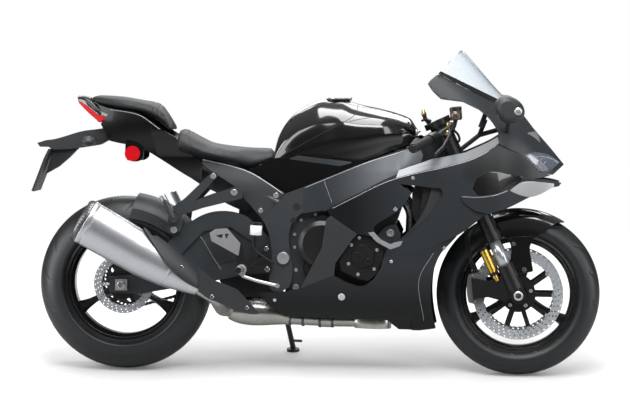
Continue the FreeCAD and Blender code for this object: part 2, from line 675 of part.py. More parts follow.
def build_engine():
    """Inline four as one block, with its side covers, radiator and exhaust."""
    half = ENGINE_HALF_W
    block = slab(outline(
        (640, 262), [(800, 222)], [(940, 262)], [(978, 330), (982, 420), (975, 480)], [(1040, 676)],
        [(925, 724)], [(835, 566)], [(700, 580)], [(650, 560)], [(640, 480)]), -half, half)
    sprocket_room = slab(outline((560, 372), [(700, 372)], [(734, 400), (744, 446), (734, 490)], [(700, 516)], [(560, 516)]),
                         CHAIN_Y - CHAIN_W, half + 1)
    block = block.cut(sprocket_room)
    clutch = engine_cover(735, 482, 84, half, 198)
    clutch = fused([clutch, engine_cover(738, 566, 24, half, 172), engine_cover(700, 392, 34, half, 176)])
    pulse_view = outline((865, 520), [(900, 510)], [(935, 490), (955, 465), (960, 440)], [(935, 375)],
                         [(905, 350)], [(870, 358)], [(808, 386)], [(800, 420)], [(830, 490)])
    pulse = fused([slab(pulse_view, -196, -half), engine_cover(867, 435, 20, half, 203),
                   engine_cover(907, 420, 13, half, 203), engine_cover(885, 440, 48, half, 201)])
    alternator = fused([engine_cover(880, 430, 78, half, 198), engine_cover(880, 430, 30, half, 204)])
    gear_cover = slab(outline((640, 506), [(690, 524)], [(738, 490), (752, 446), (738, 396)],
                              [(690, 362)], [(640, 384), (636, 446), (640, 506)]), -176, -half)
    covers = Part.makeCompound([fused([clutch, pulse]), mirrored(fused([alternator, gear_cover]))])

    core = slab(polygon((1078, 446), (1108, 440), (1142, 712), (1112, 718)), -165, 165)
    tanks = [slab(outline((1070, 438), [(1114, 430)], [(1150, 716)], [(1106, 726)]), side * 165, side * 186)
             for side in (-1, 1)]
    hangers = [rod((1122, side * 66, 700), (1122, side * 66, 752), 8) for side in (-1, 1)]
    radiator = fused([core] + tanks + hangers)

    pipes = []
    for port in (-96, -32, 32, 96):
        inward = port * 0.42
        pipes.append(pipe([(1030, port, 642), (1056, port, 600), (1052, port * 0.98, 470), (1030, port * 0.8, 300),
                           (985, inward, 212), (905, inward, 190)], 18, 70))
    collector = loft([Part.Wire(Part.makeCircle(r, V(x, y, 187), V(1, 0, 0)))
                      for x, r, y in ((985, 30, 0), (960, 62, 0), (900, 62, 0), (850, 30, -6))])
    link = pipe([(858, -6, 190), (760, -10, 190), (600, -30, 198)], 24, 80)
    clamps = [rod((720, -14, 191), (768, -10, 190), 27)]
    collector_flat = collector.common(Part.makeBox(200, 200, 46, V(830, -100, 164)))
    headers = fused(pipes + [collector_flat, link] + clamps)

    chamber = loft([Part.Wire(Part.makeCircle(26, V(615, -30, 198), V(1, 0, 0))),
                    Part.Wire(Part.makeCircle(44, V(560, -30, 215), V(1, 0, 0))),
                    Part.Wire(Part.makeCircle(46, V(420, -40, 222), V(1, 0, 0))),
                    Part.Wire(Part.makeCircle(34, V(386, -52, 226), V(1, 0, 0)))])
    riser = pipe([(400, -52, 226), (366, -90, 232), tuple(MUFFLER_START - MUFFLER_WAY * 70), tuple(MUFFLER_START)], 27, 50)
    chamber_unit = fused([chamber, riser]).cut(headers)
    return {
        "engine": block,
        "engine_covers": covers,
        "radiator": radiator,
        "exhaust_headers": headers.cut(block),
        "exhaust_chamber": chamber_unit,
    }




def muffler_section(share, high, wide, grow=0.0):
    """Oval ring square to the muffler's axis."""
    way = MUFFLER_WAY
    centre = MUFFLER_START + (MUFFLER_END - MUFFLER_START) * share
    up = way.cross(ALONG_Y).normalize()
    if up.z < 0:
        up = up * -1
    across = up.cross(way).normalize()
    ring = []
    for i in range(12):
        angle = 2 * math.pi * i / 12
        ring.append(centre + up * ((high / 2 + grow) * math.sin(angle)) + across * ((wide / 2 + grow) * math.cos(angle)))
    curve = Part.BSplineCurve()
    curve.interpolate(ring, PeriodicFlag=True)
    return Part.Wire(curve.toShape())


MUFFLER_WALL = 5.0
MUFFLER_FORM = ((0.0, 58, 58), (0.12, 96, 84), (0.30, 138, 110), (0.48, 158, 124), (1.0, 168, 128))


def build_muffler():
    """Brushed silencer with a recessed outlet, and its heat shield."""
    body = loft([muffler_section(*form) for form in MUFFLER_FORM])
    way = MUFFLER_WAY
    hollow = loft([muffler_section(0.93, 146, 106), muffler_section(1.04, 152, 112)])
    outlet = Part.makeCylinder(34, 60, MUFFLER_END - way * 60 + V(0, -6, 0), way)
    bore = Part.makeCylinder(29, 55, MUFFLER_END - way * 50 + V(0, -6, 0), way)
    inside = [(share, high, wide, -MUFFLER_WALL) for share, high, wide in MUFFLER_FORM[1:-1]]
    cavity = loft([muffler_section(*form) for form in inside + [(0.86, 166, 127, -MUFFLER_WALL)]])
    can = fused([body.cut(hollow).cut(cavity), outlet]).cut(bore)
    shield_outer = loft([muffler_section(s, h, w, 9) for s, h, w in MUFFLER_FORM])
    shield_inner = loft([muffler_section(s, h, w, 5) for s, h, w in MUFFLER_FORM])
    view = outline((84, 542), [(124, 506)], [(200, 488), (244, 468)], [(300, 395)], [(352, 350)], [(290, 316)],
                   [(230, 352), (180, 408)], [(150, 452), (84, 542)])
    shield = shield_outer.cut(shield_inner).common(slab(view, -330, -206))
    studs = fused([disc(232, 398, 9, -300, -226), disc(160, 462, 9, -310, -236)]).common(shield_inner).cut(body)
    shield = fused([shield, studs])
    guard_view = outline((298, 390), [(348, 349)], [(433, 317)], [(518, 229)], [(455, 232), (390, 256), (330, 280)], [(292, 306)])
    guard = slab(guard_view, -241, -237)
    guard_boss = disc(342, 288, 11, -238, -206).cut(rod(tuple(MUFFLER_START - MUFFLER_WAY * 70), tuple(MUFFLER_START), 27))
    guard = biggest(fused([guard, guard_boss]).cut(can).cut(shield))
    return {"muffler": can, "muffler_shield": Part.makeCompound([shield, guard])}


def build_swingarm():
    """Braced swingarm with the rear axle, caliper, hugger, shock and chain."""
    arm_view = outline(
        (-46, 292), [(-46, 348)], [(60, 356)], [(130, 420), (190, 500), (262, 560)], [(330, 590), (400, 592), (460, 574)],
        [(560, 484)], [(618, 458)], [(628, 433), (618, 406)], [(560, 392)], [(420, 356), (300, 330), (60, 286)])
    window = outline((190, 404), [(300, 520)], [(400, 536)], [(500, 470)], [(470, 420)], [(330, 388), (240, 384), (190, 404)])
    right = slab(arm_view, -ARM_OUTER_Y, -ARM_INNER_Y).cut(slab(window, -200, -ARM_OUTER_Y + ARM_RECESS))
    lower_view = outline(
        (-46, 292), [(-46, 348)], [(60, 356)], [(240, 392), (420, 440), (560, 476)], [(618, 458)],
        [(628, 433), (618, 406)], [(560, 392)], [(420, 356), (300, 330), (60, 286)])
    left = slab(lower_view, ARM_INNER_Y, ARM_OUTER_Y)
    bridge = slab(outline((345, 380), [(345, 520)], [(380, 560), (430, 560)], [(470, 500)], [(470, 400)]), -ARM_INNER_Y - 3, 90)
    bridge = bridge.cut(slab(polygon((372, 408), (372, 520), (440, 520), (448, 420)), -88, 60))
    chain_side = slab(polygon((346, 362), (346, 436), (469, 436), (469, 378)), 80, ARM_INNER_Y + 3)
    sleeve = disc(PIVOT_X, PIVOT_Z, 30, -ARM_OUTER_Y, ARM_OUTER_Y)
    axle = disc(0, REAR_R, AXLE_R, -158, 158)
    ends = [disc(0, REAR_R, 20, side * ARM_OUTER_Y, side * (ARM_OUTER_Y + 10)) for side in (-1, 1)]
    arm = fused([right, left, bridge, chain_side, axle, sleeve] + ends)
    arm = arm.cut(disc(PIVOT_X, PIVOT_Z, 14 + FIT, -300, 300)).cut(disc(0, REAR_R, AXLE_BORE_R, -170, 170))

    body = slab(outline((-36, 392), [(-34, 440), (4, 458), (40, 444)], [(46, 388)]), -104, -64)
    slot = disc(0, REAR_R, REAR_DISC_R + CLEARANCE, -REAR_DISC_Y - DISC_T / 2 - CLEARANCE,
                -REAR_DISC_Y + DISC_T / 2 + CLEARANCE)
    bracket = slab(polygon((-26, 296), (-36, 430), (44, 430), (34, 296)), -ARM_INNER_Y, -104)
    bracket = bracket.cut(disc(0, REAR_R, AXLE_R, -130, -90))
    caliper_unit = fused([body.cut(slot), bracket])

    gap = 14.0
    high = REAR_R + gap
    half = REAR_TYRE_W / 2 + 8
    profile = [(high - 96, -half), (high - 50, -half), (high - 14, -half * 0.62), (high, 0)]
    profile += [(r, -y) for r, y in profile[-2::-1]]
    inner = [(high - 96, -half + 4), (high - 50, -half + 4), (high - 18, -half * 0.6), (high - 4, 0)]
    inner += [(r, -y) for r, y in inner[-2::-1]]
    shell = turned_wire([flat_curve(profile), flat_line(profile[-1], inner[-1]),
                         flat_curve(inner[::-1]), flat_line(inner[0], profile[0])], 0, REAR_R)
    cut_view = outline((20, 556), [(60, 700)], [(400, 700)], [(352, 474)], [(300, 460)],
                       [(230, 474), (150, 516), (20, 556)])
    boss = disc(246, 486, 10, -ARM_INNER_Y, -half * 0.9)
    guard = fused([shell.common(slab(cut_view, -half - 2, half + 2)), boss]).cut(arm)

    damper = [rod((420, 0, 700), (450, 0, 590), 30), rod((450, 0, 590), (478, 0, 470), 14),
              rod((446, 0, 604), (470, 0, 504), 24)]
    shock = fused(damper).cut(arm)
    return {"swingarm": arm, "rear_caliper": caliper_unit, "rear_hugger": guard,
            "rear_shock": shock, "drive_chain": chain_loop()}


# Bodywork

SIDE_PLAN = [(500, 208), (640, 213), (960, 216), (1120, 215), (1250, 208), (1372, 182),
             (1440, 156), (1510, 118), (1565, 76)]
SIDE_DROP = [(165, 0.56), (230, 0.74), (330, 0.89), (450, 0.97), (590, 1.0), (720, 0.985), (860, 0.9), (1000, 0.76)]


def side_half_width(x, z):
    """Half-width of the fairing sides: its plan view times its front view."""
    return blend_through(SIDE_PLAN, x) * blend_through(SIDE_DROP, z)


NOSE_TOP = [(1100, 1330), (1236, 1190), (1385, 1026), (1455, 962), (1500, 906), (1560, 838), (1612, 776)]
NOSE_WIDE = [(1100, 206), (1240, 204), (1372, 186), (1455, 146), (1510, 112), (1565, 70), (1600, 34), (1612, 22)]
NOSE_STATIONS = (1100, 1180, 1260, 1340, 1400, 1455, 1510, 1560, 1590, 1612)


def nose_form(inset):
    """Solid under the upper cowl and the windscreen, smaller all round by the inset."""
    wires = []
    for x in NOSE_STATIONS:
        wide = blend_through(NOSE_WIDE, x) - inset
        top = blend_through(NOSE_TOP, x) - inset * 1.6
        wires.append(arch(x, max(wide, 4), NOSE_BASE_Z, top))
    return loft(wires)


SCREEN_VIEW = [(1145, 1100), (1236, 1200), (1400, 1036), (1355, 1000)]
NOSE_VIEW = outline(
    (1145, 1100), [(1355, 1000)], [(1400, 1036)], [(1640, 800)], [(1625, 752)], [(1562, 738)], [(1510, 757)],
    [(1440, 820)], [(1375, 850)], [(1370, 890), (1340, 940), (1300, 975)], [(1240, 1003)],
    [(1160, 1012)], [(1130, 1040)], [(1110, 1070)])
LAMP_VIEW = outline((1462, 812), [(1500, 822), (1550, 815), (1598, 786)], [(1565, 757)], [(1530, 752)], [(1512, 762)])


SEAM = [(960, 437), (1150, 487), (1228, 522)]
PANEL_FOOT = [(658, 318), (782, 368)]
MIRROR_VIEW = ((1362, 1014), (1394, 1028), (1426, 1018), (1456, 988), (1459, 960), (1430, 934), (1392, 931), (1365, 955))
MIRROR_CENTRE = (1408, 978)
MIRROR_FORM = ((-256, 0.42), (-276, 0.82), (-316, 1.0), (-352, 0.92), (-374, 0.6))


def mirror_section(y, share):
    """Closed outline of the mirror pod at one distance from the bike's middle."""
    ring = [V(MIRROR_CENTRE[0] + (x - MIRROR_CENTRE[0]) * share, y, MIRROR_CENTRE[1] + (z - MIRROR_CENTRE[1]) * share)
            for x, z in MIRROR_VIEW]
    curve = Part.BSplineCurve()
    curve.interpolate(ring, PeriodicFlag=True)
    return Part.Wire(curve.toShape())


def build_front_cowls():
    """Upper cowl with windscreen, lamps, mirrors, wings and dials, and the side and lower cowls."""
    outer = nose_form(0)
    shell = outer.cut(nose_form(PANEL_T))
    nose = shell.common(slab(NOSE_VIEW, -260, 260))
    nose = nose.cut(slab(LAMP_VIEW, -260, 260))
    chin = slab(polygon((1606, 752), (1562, 742), (1512, 762), (1446, 820), (1450, 824), (1514, 767), (1562, 747), (1606, 757)),
                -260, 260).common(nose_form(PANEL_T - 0.5))
    intake = slab(polygon((1452, 780), (1452, 830), (1536, 770), (1536, 740)), -44, 44)
    nose = fused([nose, chin.cut(intake).cut(slab(LAMP_VIEW, -260, 260))])
    lens = shell.common(slab(LAMP_VIEW, -260, 260))
    lens_right = lens.common(Part.makeBox(600, 258, 400, V(1300, -260, 600)))
    lens_right = lens_right.common(Part.makeBox(300, 248, 400, V(1400, -260, 600)))
    thin = outer.cut(nose_form(SCREEN_T))
    screen = thin.common(slab(polygon(*SCREEN_VIEW), -260, 260))

    side_view = outline(
        (755, 605), [(850, 655)], [(985, 720), (1200, 775), (1280, 800), (1340, 830), (1372, 850)],
        [(1440, 819)], [(1510, 756)], [(1562, 737)], [(1455, 712), (1420, 694), (1360, 664)],
        [(1348, 640)], [(1331, 601)], [(1255, 540), SEAM[2]], [SEAM[1], SEAM[0]],
        [(975, 470)], [(935, 510)], [(870, 522)], [(765, 592)])
    outlet = outline((1012, 704), [(1165, 690)], [(1172, 672), (1160, 640), (1135, 600)],
                     [(1100, 560), (1020, 502), (985, 486)], [(940, 510)], [(925, 545), (1000, 600), (1040, 640), (1060, 676)])
    side = skin(side_half_width, (740, 1580), (420, 870), PANEL_T, (15, 8)).common(slab(side_view, -300, 0))
    side = side.cut(slab(outlet, -300, 0))

    seam_low = [(x, z - SEAT_GAP) for x, z in SEAM]
    lower_view = outline(
        seam_low[0], seam_low[1:], [(1205, 496), (1165, 450), (1140, 380), (1133, 300), (1140, 230), (1152, 175)],
        [(1090, 167)], [(1015, 168)], [(975, 203)], [(600, 213)], [(540, 260), (500, 300)],
        [(600, 306)], PANEL_FOOT[:1], PANEL_FOOT[1:], [(830, 344), (884, 331), (926, 358)], [(950, 398), seam_low[0]])
    lower_skin = skin(side_half_width, (490, 1240), (160, 530), PANEL_T, (10, 10))
    lower_right = lower_skin.common(slab(lower_view, -300, 0))
    stand_room = Part.makeBox(200, 300, 200, V(470, -300, 150))
    lower_left = mirrored(lower_right.cut(stand_room))
    lower = Part.makeCompound([lower_right, lower_left])

    foot = [(x, z + SEAT_GAP) for x, z in PANEL_FOOT]
    engine_view = outline(foot[0], foot[1:], [(786, 414)], [(812, 450), (848, 504)], [(866, 522)], [(768, 587)], [(752, 573)], [(736, 468)])
    engine_panel = skin(side_half_width, (640, 880), (300, 600), PANEL_T, (6, 6)).common(slab(engine_view, -300, 0)).cut(side)

    inner_view = outline((765, 610), [(870, 668)], [(985, 730), (1060, 758), (1160, 782)], [(1200, 700)],
                         [(1190, 600), (1150, 500)], [(1060, 470)], [(1000, 492)], [(1100, 600), (1130, 690)], [(1000, 716)],
                         [(900, 640)], [(800, 588)])
    inner = skin(side_half_width, (740, 1240), (440, 830), PANEL_T, (10, 6), inset=18).common(slab(inner_view, -300, 0))

    wing_view = outline((1238, 660), [(1300, 658), (1360, 668), (1420, 698)], [(1455, 717)], [(1500, 724), (1600, 712)],
                        [(1590, 700)], [(1490, 664), (1440, 638), (1400, 619)], [(1340, 600)], [(1290, 610)], [(1246, 640)])
    wing = skin(wing_half_width, (1220, 1620), (590, 740), 26, (9, 5)).common(slab(wing_view, -300, 0)).cut(side)

    mirror_shell = loft([mirror_section(y, share) for y, share in MIRROR_FORM])
    stalk = pipe([(1398, -124, 888), (1403, -192, 922), (1406, -276, 966)], 9, 60)
    mirror = fused([mirror_shell, stalk]).cut(outer)

    dial = slab(polygon((1296, 912), (1312, 906), (1336, 972), (1320, 978)), -82, 82)
    brace = []
    for side_way in (-1, 1):
        knee = (1300, side_way * 34, 880)
        brace.append(rod((1200, side_way * 18, 800), knee, 8))
        brace.append(rod(knee, (1322, side_way * 50, 936), 8))
        brace.append(rod(knee, (1386, side_way * 44, 906), 8))
    crossbar = rod((1384, -180, 905), (1384, 180, 905), 8).common(nose_form(PANEL_T))
    stay = fused([dial, crossbar] + brace)
    return {
        "nose_cowl": nose,
        "headlamps": pair(lens_right),
        "windscreen": screen,
        "side_cowls": pair(side),
        "lower_cowls": lower,
        "engine_panels": pair(engine_panel),
        "inner_panels": pair(inner),
        "winglets": pair(wing),
        "mirrors": pair(mirror),
        "instrument": stay,
    }


def wing_half_width(x, z):
    """The winglet stands a little proud of the fairing side."""
    return blend_through([(1220, 212), (1320, 212), (1440, 186), (1530, 150), (1610, 110)], x)


TANK_TOP = [(545, 805), (562, 868), (600, 930), (650, 972), (720, 1004), (790, 1008), (850, 990), (940, 972),
            (1000, 956), (1045, 938), (1072, 900)]
TANK_LOW = [(545, 700), (620, 700), (720, 716), (850, 764), (950, 806), (1072, 846)]
TANK_WIDE = [(545, 84), (620, 112), (720, 138), (830, 168), (930, 170), (1010, 140), (1072, 92)]
TANK_STATIONS = (545, 575, 630, 700, 780, 860, 940, 1010, 1050, 1072)
CAP_X = 782.0
CAP_R = 46.0


def tank_section(x, inset=0.0):
    """Cross-section with flanks that lean in over the knees and a full, rounded top."""
    low = blend_through(TANK_LOW, x) + inset
    top = blend_through(TANK_TOP, x) - inset
    wide = blend_through(TANK_WIDE, x) - inset
    return rounded_section(x, low, top, [wide * 0.9, wide * 0.96, wide, wide * 0.9])


def build_tank_and_seats():
    """Fuel tank with its filler recess and cap, and both seats."""
    tank = loft([tank_section(x) for x in TANK_STATIONS])
    top_z = blend_through(TANK_TOP, CAP_X)
    tilt = V(0.0, 0, 1)
    recess = Part.makeCylinder(CAP_R, 40, V(CAP_X, 0, top_z - 10), tilt)
    neck = Part.makeCylinder(24, 120, V(CAP_X, 0, top_z - 90), tilt)
    tank = tank.cut(recess).cut(neck)
    cap_ring = Part.makeCylinder(CAP_R + 2, 7, V(CAP_X, 0, top_z - 11), tilt).cut(
        Part.makeCylinder(26, 20, V(CAP_X, 0, top_z - 20), tilt))
    lid = Part.makeCylinder(CAP_R - 6, 7, V(CAP_X, 0, top_z - 4 + SEAT_GAP), tilt)
    hinge_lug = Part.makeBox(14, 16, 6, V(CAP_X + CAP_R - 15, -8, top_z - 4 + SEAT_GAP))
    hinge_eye = rod((CAP_X + CAP_R, -8, top_z + 3), (CAP_X + CAP_R, 8, top_z + 3), 3)
    cap = fused([lid, hinge_lug, hinge_eye])

    seat_rows = ((196, 812, 893, 132), (250, 800, 874, 146), (320, 784, 840, 150), (400, 766, 828, 138),
                 (470, 748, 823, 112), (530, 768, 822, 92), (560, 788, 800, 82))
    seat = loft([rounded_section(x, low, top, [w * 0.86, w, w * 0.97, w * 0.72]) for x, low, top, w in seat_rows])
    pad_rows = ((-136, 984, 1004, 34), (-100, 976, 1010, 60), (-20, 962, 1006, 88), (60, 950, 994, 100),
                (122, 920, 982, 106), (176, 872, 896, 104))
    pad = loft([rounded_section(x, low, top, [w * 0.92, w, w * 0.96, w * 0.7]) for x, low, top, w in pad_rows])
    return {"fuel_tank": fused([tank, cap_ring]), "fuel_cap": cap, "rider_seat": seat.cut(tank), "pillion_seat": pad}


TAIL_PLAN = [(-190, 20), (-140, 44), (-60, 78), (60, 106), (180, 124), (300, 136), (480, 150), (610, 168)]
TAIL_DROP = [(560, 0.98), (680, 0.95), (780, 0.8), (850, 0.9), (900, 1.0), (960, 0.98), (1010, 0.86)]


def tail_half_width(x, z):
    """Half-width of the tail sides, tucked in under the crease."""
    return blend_through(TAIL_PLAN, x) * blend_through(TAIL_DROP, z)


PLATE_HIGH = (-300, 777)
PLATE_LOW = (-345, 657)
UNDER_REAR_TOP = (-92, 908)
UNDER_REAR_LOW = (-60, 846)


def build_tail():
    """Tail cowl, side covers, lamp, reflectors and the plate holder."""
    side_view = outline(
        (-112, 984), [(-60, 964), (0, 957), (60, 944)], [(180, 868)], [(240, 806)], [(285, 786)], [(285, 690)],
        [(250, 712)], [(200, 740), (100, 800), (40, 830)], [(0, 833), (-60, 845)], [(-92, 906)], [(-72, 930)])
    side = skin(tail_half_width, (-120, 300), (680, 990), PANEL_T, (10, 9)).common(slab(side_view, -300, 0))
    tip_rows = ((-186, 1001, 1007), (-165, 985, 1010), (-138, 966, 1004), (-104, 930, 984), (-72, 925, 966))
    tip_sections = []
    for x, low, top in tip_rows:
        w = blend_through(TAIL_PLAN, x) - 2
        tip_sections.append(rounded_section(x, low, top, [w * 0.9, w, w * 0.98, w * 0.7]))
    tip = loft(tip_sections)
    under = slab(outline(UNDER_REAR_TOP, [UNDER_REAR_LOW], [(0, 835)], [(60, 822)], [(60, 830)], [(0, 843), (-54, 853)], [(-84, 908)]), -100, 100)
    fill = skin(tail_half_width, (-120, 300), (680, 990), 120, (10, 9))
    under = fused([under.common(fill), mirrored(under.common(fill))])
    hanger_plate = slab(outline((4, 846), [(74, 838)], [(70, 786)], [(52, 771), (30, 770), (10, 775)], [(2, 800)]), -92, -84)
    lamp_view = outline((-186, 1001), [(-180, 984)], [(-110, 920)], [(-96, 909)], [(-72, 930)], [(-100, 942)], [(-150, 985)])
    lamp_block = tip.common(slab(lamp_view, -80, 80))
    tail = fused([side, mirrored(side), tip.cut(slab(lamp_view, -80, 80)), under, hanger_plate, mirrored(hanger_plate)])

    cover_view = outline(
        (288, 784), [(400, 760)], [(470, 738)], [(540, 698)], [(598, 664)], [(515, 568)], [(440, 650)], [(420, 680)], [(320, 742)], [(288, 764)])
    cover = skin(tail_half_width, (270, 620), (550, 800), PANEL_T, (6, 6)).common(slab(cover_view, -300, 0))

    reflector = disc(30, 799, 28, -101, -92)
    down = V(PLATE_LOW[0] - PLATE_HIGH[0], 0, PLATE_LOW[1] - PLATE_HIGH[1]).normalize()
    back = V(down.z, 0, -down.x)
    rear_reflector = rod((0, 0, 0), tuple(back * 5), 21)
    rear_reflector.translate(V(PLATE_HIGH[0], 0, PLATE_HIGH[1]) + down * 30 + back * SEAT_GAP)
    lenses = Part.makeCompound([lamp_block, reflector, mirrored(reflector), rear_reflector])

    slope = (UNDER_REAR_LOW[0] - UNDER_REAR_TOP[0]) / (UNDER_REAR_LOW[1] - UNDER_REAR_TOP[1])
    arm_top = (UNDER_REAR_TOP[0] + (890 - UNDER_REAR_TOP[1]) * slope, 890)
    arm_low = (UNDER_REAR_TOP[0] + (850 - UNDER_REAR_TOP[1]) * slope, 850)
    arm = slab(outline(arm_top, [(-130, 883)], [(-200, 868), (-240, 855), (-300, 843)], [(-333, 832)], [(-322, 818)],
                       [(-290, 818)], [(-275, 808)], [(-180, 815), (-100, 828)], [arm_low]), -34, 34)
    plate = slab(polygon((-283, 812), PLATE_HIGH, PLATE_LOW, (-337, 654), (-291, 774), (-275, 812)), -86, 86)
    web = slab(polygon((-275, 812), (-180, 816), (-215, 780), (-255, 745), (-302, 718)), -16, 16)
    pods = []
    for side_way in (-1, 1):
        pods.append(rod((-120, side_way * 30, 846), (-124, side_way * 96, 842), 9))
        lens_pod = Part.makeSphere(1.0)
        stretch = FreeCAD.Matrix()
        stretch.scale(28, 42, 19)
        lens_pod = lens_pod.transformGeometry(stretch)
        lens_pod.translate(V(-130, side_way * 118, 842))
        pods.append(lens_pod)
    holder = fused([arm, plate, web] + pods)
    return {
        "tail_cowl": tail,
        "seat_side_covers": pair(cover),
        "red_lenses": lenses,
        "plate_holder": holder,
    }


def build_rests():
    """Rider's steps with pegs and pedals, and the passenger's pegs with their hangers."""
    heel_plate = slab(outline((334, 488), [(327, 517)], [(348, 532)], [(391, 535)], [(444, 481)], [(436, 432)]), -192, -186)
    heel_plate = heel_plate.cut(slab(polygon((352, 500), (392, 516), (398, 498), (372, 488)), -200, -180))
    plate = fused([
        heel_plate,
        slab(polygon((552, 472), (536, 446), (458, 384), (432, 402)), -192, -184),
        slab(polygon((556, 400), (552, 374), (440, 368), (434, 396)), -192, -184),
        slab(polygon((420, 470), (446, 476), (460, 384), (432, 380)), -192, -184),
        disc(446, 386, 20, -194, -184)])
    bosses = [disc(533, 462, 14, -192, -171), disc(538, 387, 14, -192, -171)]
    peg = rod((446, -190, 386), (440, -282, 388), 12)
    step = fused([plate, peg] + bosses)
    reservoir = Part.makeCylinder(21, 44, V(496, -205, 512), V(0.05, 0, 1))
    reservoir_post = rod((500, -189, 432), (496, -203, 518), 6)
    right_step = fused([step, reservoir, reservoir_post])
    steps = Part.makeCompound([right_step, mirrored(step)])

    brake = fused([pipe([(448, -200, 362), (500, -204, 346), (575, -212, 330)], 6, 60), disc(448, 372, 11, -206, -193),
                   rod((575, -206, 330), (580, -250, 332), 8)])
    shift = fused([pipe([(448, -200, 362), (490, -206, 352), (590, -212, 384)], 5, 60), disc(448, 372, 11, -206, -193),
                   rod((590, -206, 384), (592, -246, 386), 7)])
    pedals = Part.makeCompound([brake.cut(right_step), mirrored(shift.cut(step))])

    hanger_view = outline((350, 734), [(330, 736)], [(232, 640)], [(176, 600)], [(168, 520)], [(193, 508)], [(218, 522)], [(226, 580)],
                          [(300, 606)], [(440, 642)], [(446, 668)], [(412, 684)], [(290, 640)], [(268, 632)], [(350, 720)])
    plate_in = slab(hanger_view, -166, -154)
    peg_folded = rod((150, -174, 650), (192, -178, 568), 11)
    hub = disc(194, 566, 15, -186, -160)
    hanger_studs = [disc(336, 722, 11, -166, -112), disc(412, 664, 11, -166, -128)]
    hanger = fused([plate_in, peg_folded, hub] + hanger_studs)
    return {"rider_steps": steps, "pedals": pedals, "pillion_hangers": pair(hanger)}


def build_stand():
    """Side stand on the left, slanting forward of its pivot so that its stop takes the load."""
    way = (STAND_FOOT - STAND_PIVOT).normalize()
    leg = rod(tuple(STAND_PIVOT), tuple(STAND_FOOT), 10)
    eye = Part.makeCylinder(STAND_EYE_R, STAND_EYE_T, STAND_PIVOT - STAND_AXIS * (STAND_EYE_T / 2), STAND_AXIS)
    floor_tilt = math.radians(LEAN)
    floor_up = V(0, -math.sin(floor_tilt), math.cos(floor_tilt))
    floor_point = V(STAND_FOOT.x, STAND_FOOT.y, STAND_FOOT.y * math.tan(floor_tilt)) - floor_up * TYRE_DROP
    pad = Part.makeCylinder(24, 9, floor_point, floor_up)
    shank = rod(tuple(STAND_FOOT), tuple(floor_point + floor_up * 5), 10)
    feeler = rod(tuple(STAND_FOOT - way * 30), tuple(STAND_FOOT - way * 30 + V(36, 30, -4)), 5)
    stand = fused([leg, eye, shank, pad, feeler])
    below = Part.makeBox(400, 400, 60, V(-200, -200, -60))
    below.rotate(ORIGIN, V(1, 0, 0), LEAN)
    below.translate(floor_point)
    pin_hole = Part.makeCylinder(STAND_PIN_R + FIT, 80, STAND_PIVOT - STAND_AXIS * 40, STAND_AXIS)
    eye_face = STAND_PIVOT - STAND_AXIS * (STAND_EYE_T / 2)
    lug_room = Part.makeCylinder(STAND_EYE_R + CLEARANCE, 20, eye_face, STAND_AXIS * -1)
    return {"side_stand": stand.cut(below).cut(pin_hole).cut(lug_room)}


TRIMS = (
    ("subframe", "tail_cowl"), ("tail_cowl", "pillion_seat"), ("tail_cowl", "rider_seat"), ("subframe", "rider_seat"),
    ("subframe", "seat_side_covers"), ("rider_steps", "main_frame"), ("pillion_hangers", "seat_side_covers"),
    ("pillion_hangers", "subframe"), ("rear_shock", "subframe"), ("main_frame", "side_cowls"),
    ("instrument", "main_frame"), ("radiator", "main_frame"), ("radiator", "inner_panels"),
    ("inner_panels", "main_frame"), ("fuel_tank", "main_frame"),
)


def build_bike():
    """Every named piece, upright, each trimmed where it seats on its neighbour."""
    nodes = {}
    for group in (build_frame, build_engine, build_muffler, build_swingarm, build_rests, build_tank_and_seats,
                  build_tail, build_front_cowls, build_stand, build_steering, build_wheels):
        nodes.update(group())
    for piece, neighbour in TRIMS:
        nodes[piece] = nodes[piece].cut(nodes[neighbour])
    return nodes


def lean_and_place(nodes):
    """Lean the bike on its stand and put the origin under the middle of its box."""
    for shape in nodes.values():
        shape.rotate(ORIGIN, V(1, 0, 0), -LEAN)
    box = Part.makeCompound(list(nodes.values())).optimalBoundingBox(False, False)
    shift = V(-(box.XMin + box.XMax) / 2, -(box.YMin + box.YMax) / 2, -box.ZMin)
    for shape in nodes.values():
        shape.translate(shift)
    return shift, box


def placed(point, shift):
    """A point of the upright bike as it ends up."""
    turn = FreeCAD.Rotation(V(1, 0, 0), -LEAN)
    return turn.multVec(V(point)) + shift


def main():
    """Build, lean, write each piece and print what the joints need."""
    nodes = build_bike()
    shift, box = lean_and_place(nodes)
    os.makedirs("parts", exist_ok=True)
    for name, shape in nodes.items():
        solids = shape.Solids
        print("%s: solids %d, volume %.0f, valid %s" % (name, len(solids), shape.Volume, shape.isValid()))
        final = solids[0] if len(solids) == 1 else Part.makeCompound(solids)
        final.exportStep("parts/%s.step" % name)
    turn = FreeCAD.Rotation(V(1, 0, 0), -LEAN)
    cap_hinge = V(CAP_X + CAP_R, 0, blend_through(TANK_TOP, CAP_X) + 3)
    for name, point, axis in (
            ("steering", V(steering_x(800), 0, 800), STEER_AXIS),
            ("front_wheel_spin", V(WHEELBASE, 0, FRONT_R), ALONG_Y),
            ("rear_wheel_spin", V(0, 0, REAR_R), ALONG_Y),
            ("side_stand_fold", STAND_PIVOT, STAND_AXIS),
            ("fuel_cap_hinge", cap_hinge, ALONG_Y)):
        here, way = placed(point, shift), turn.multVec(V(axis).normalize())
        print("JOINT %s %.3f %.3f %.3f  %.6f %.6f %.6f" % (name, here.x, here.y, here.z, way.x, way.y, way.z))
    print("SHIFT %.4f %.4f %.4f" % tuple(shift))
    print("BOX %.1f %.1f %.1f" % (box.XLength, box.YLength, box.ZLength))


main()
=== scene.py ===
"""Sport bike: bodywork, seats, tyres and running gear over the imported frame."""

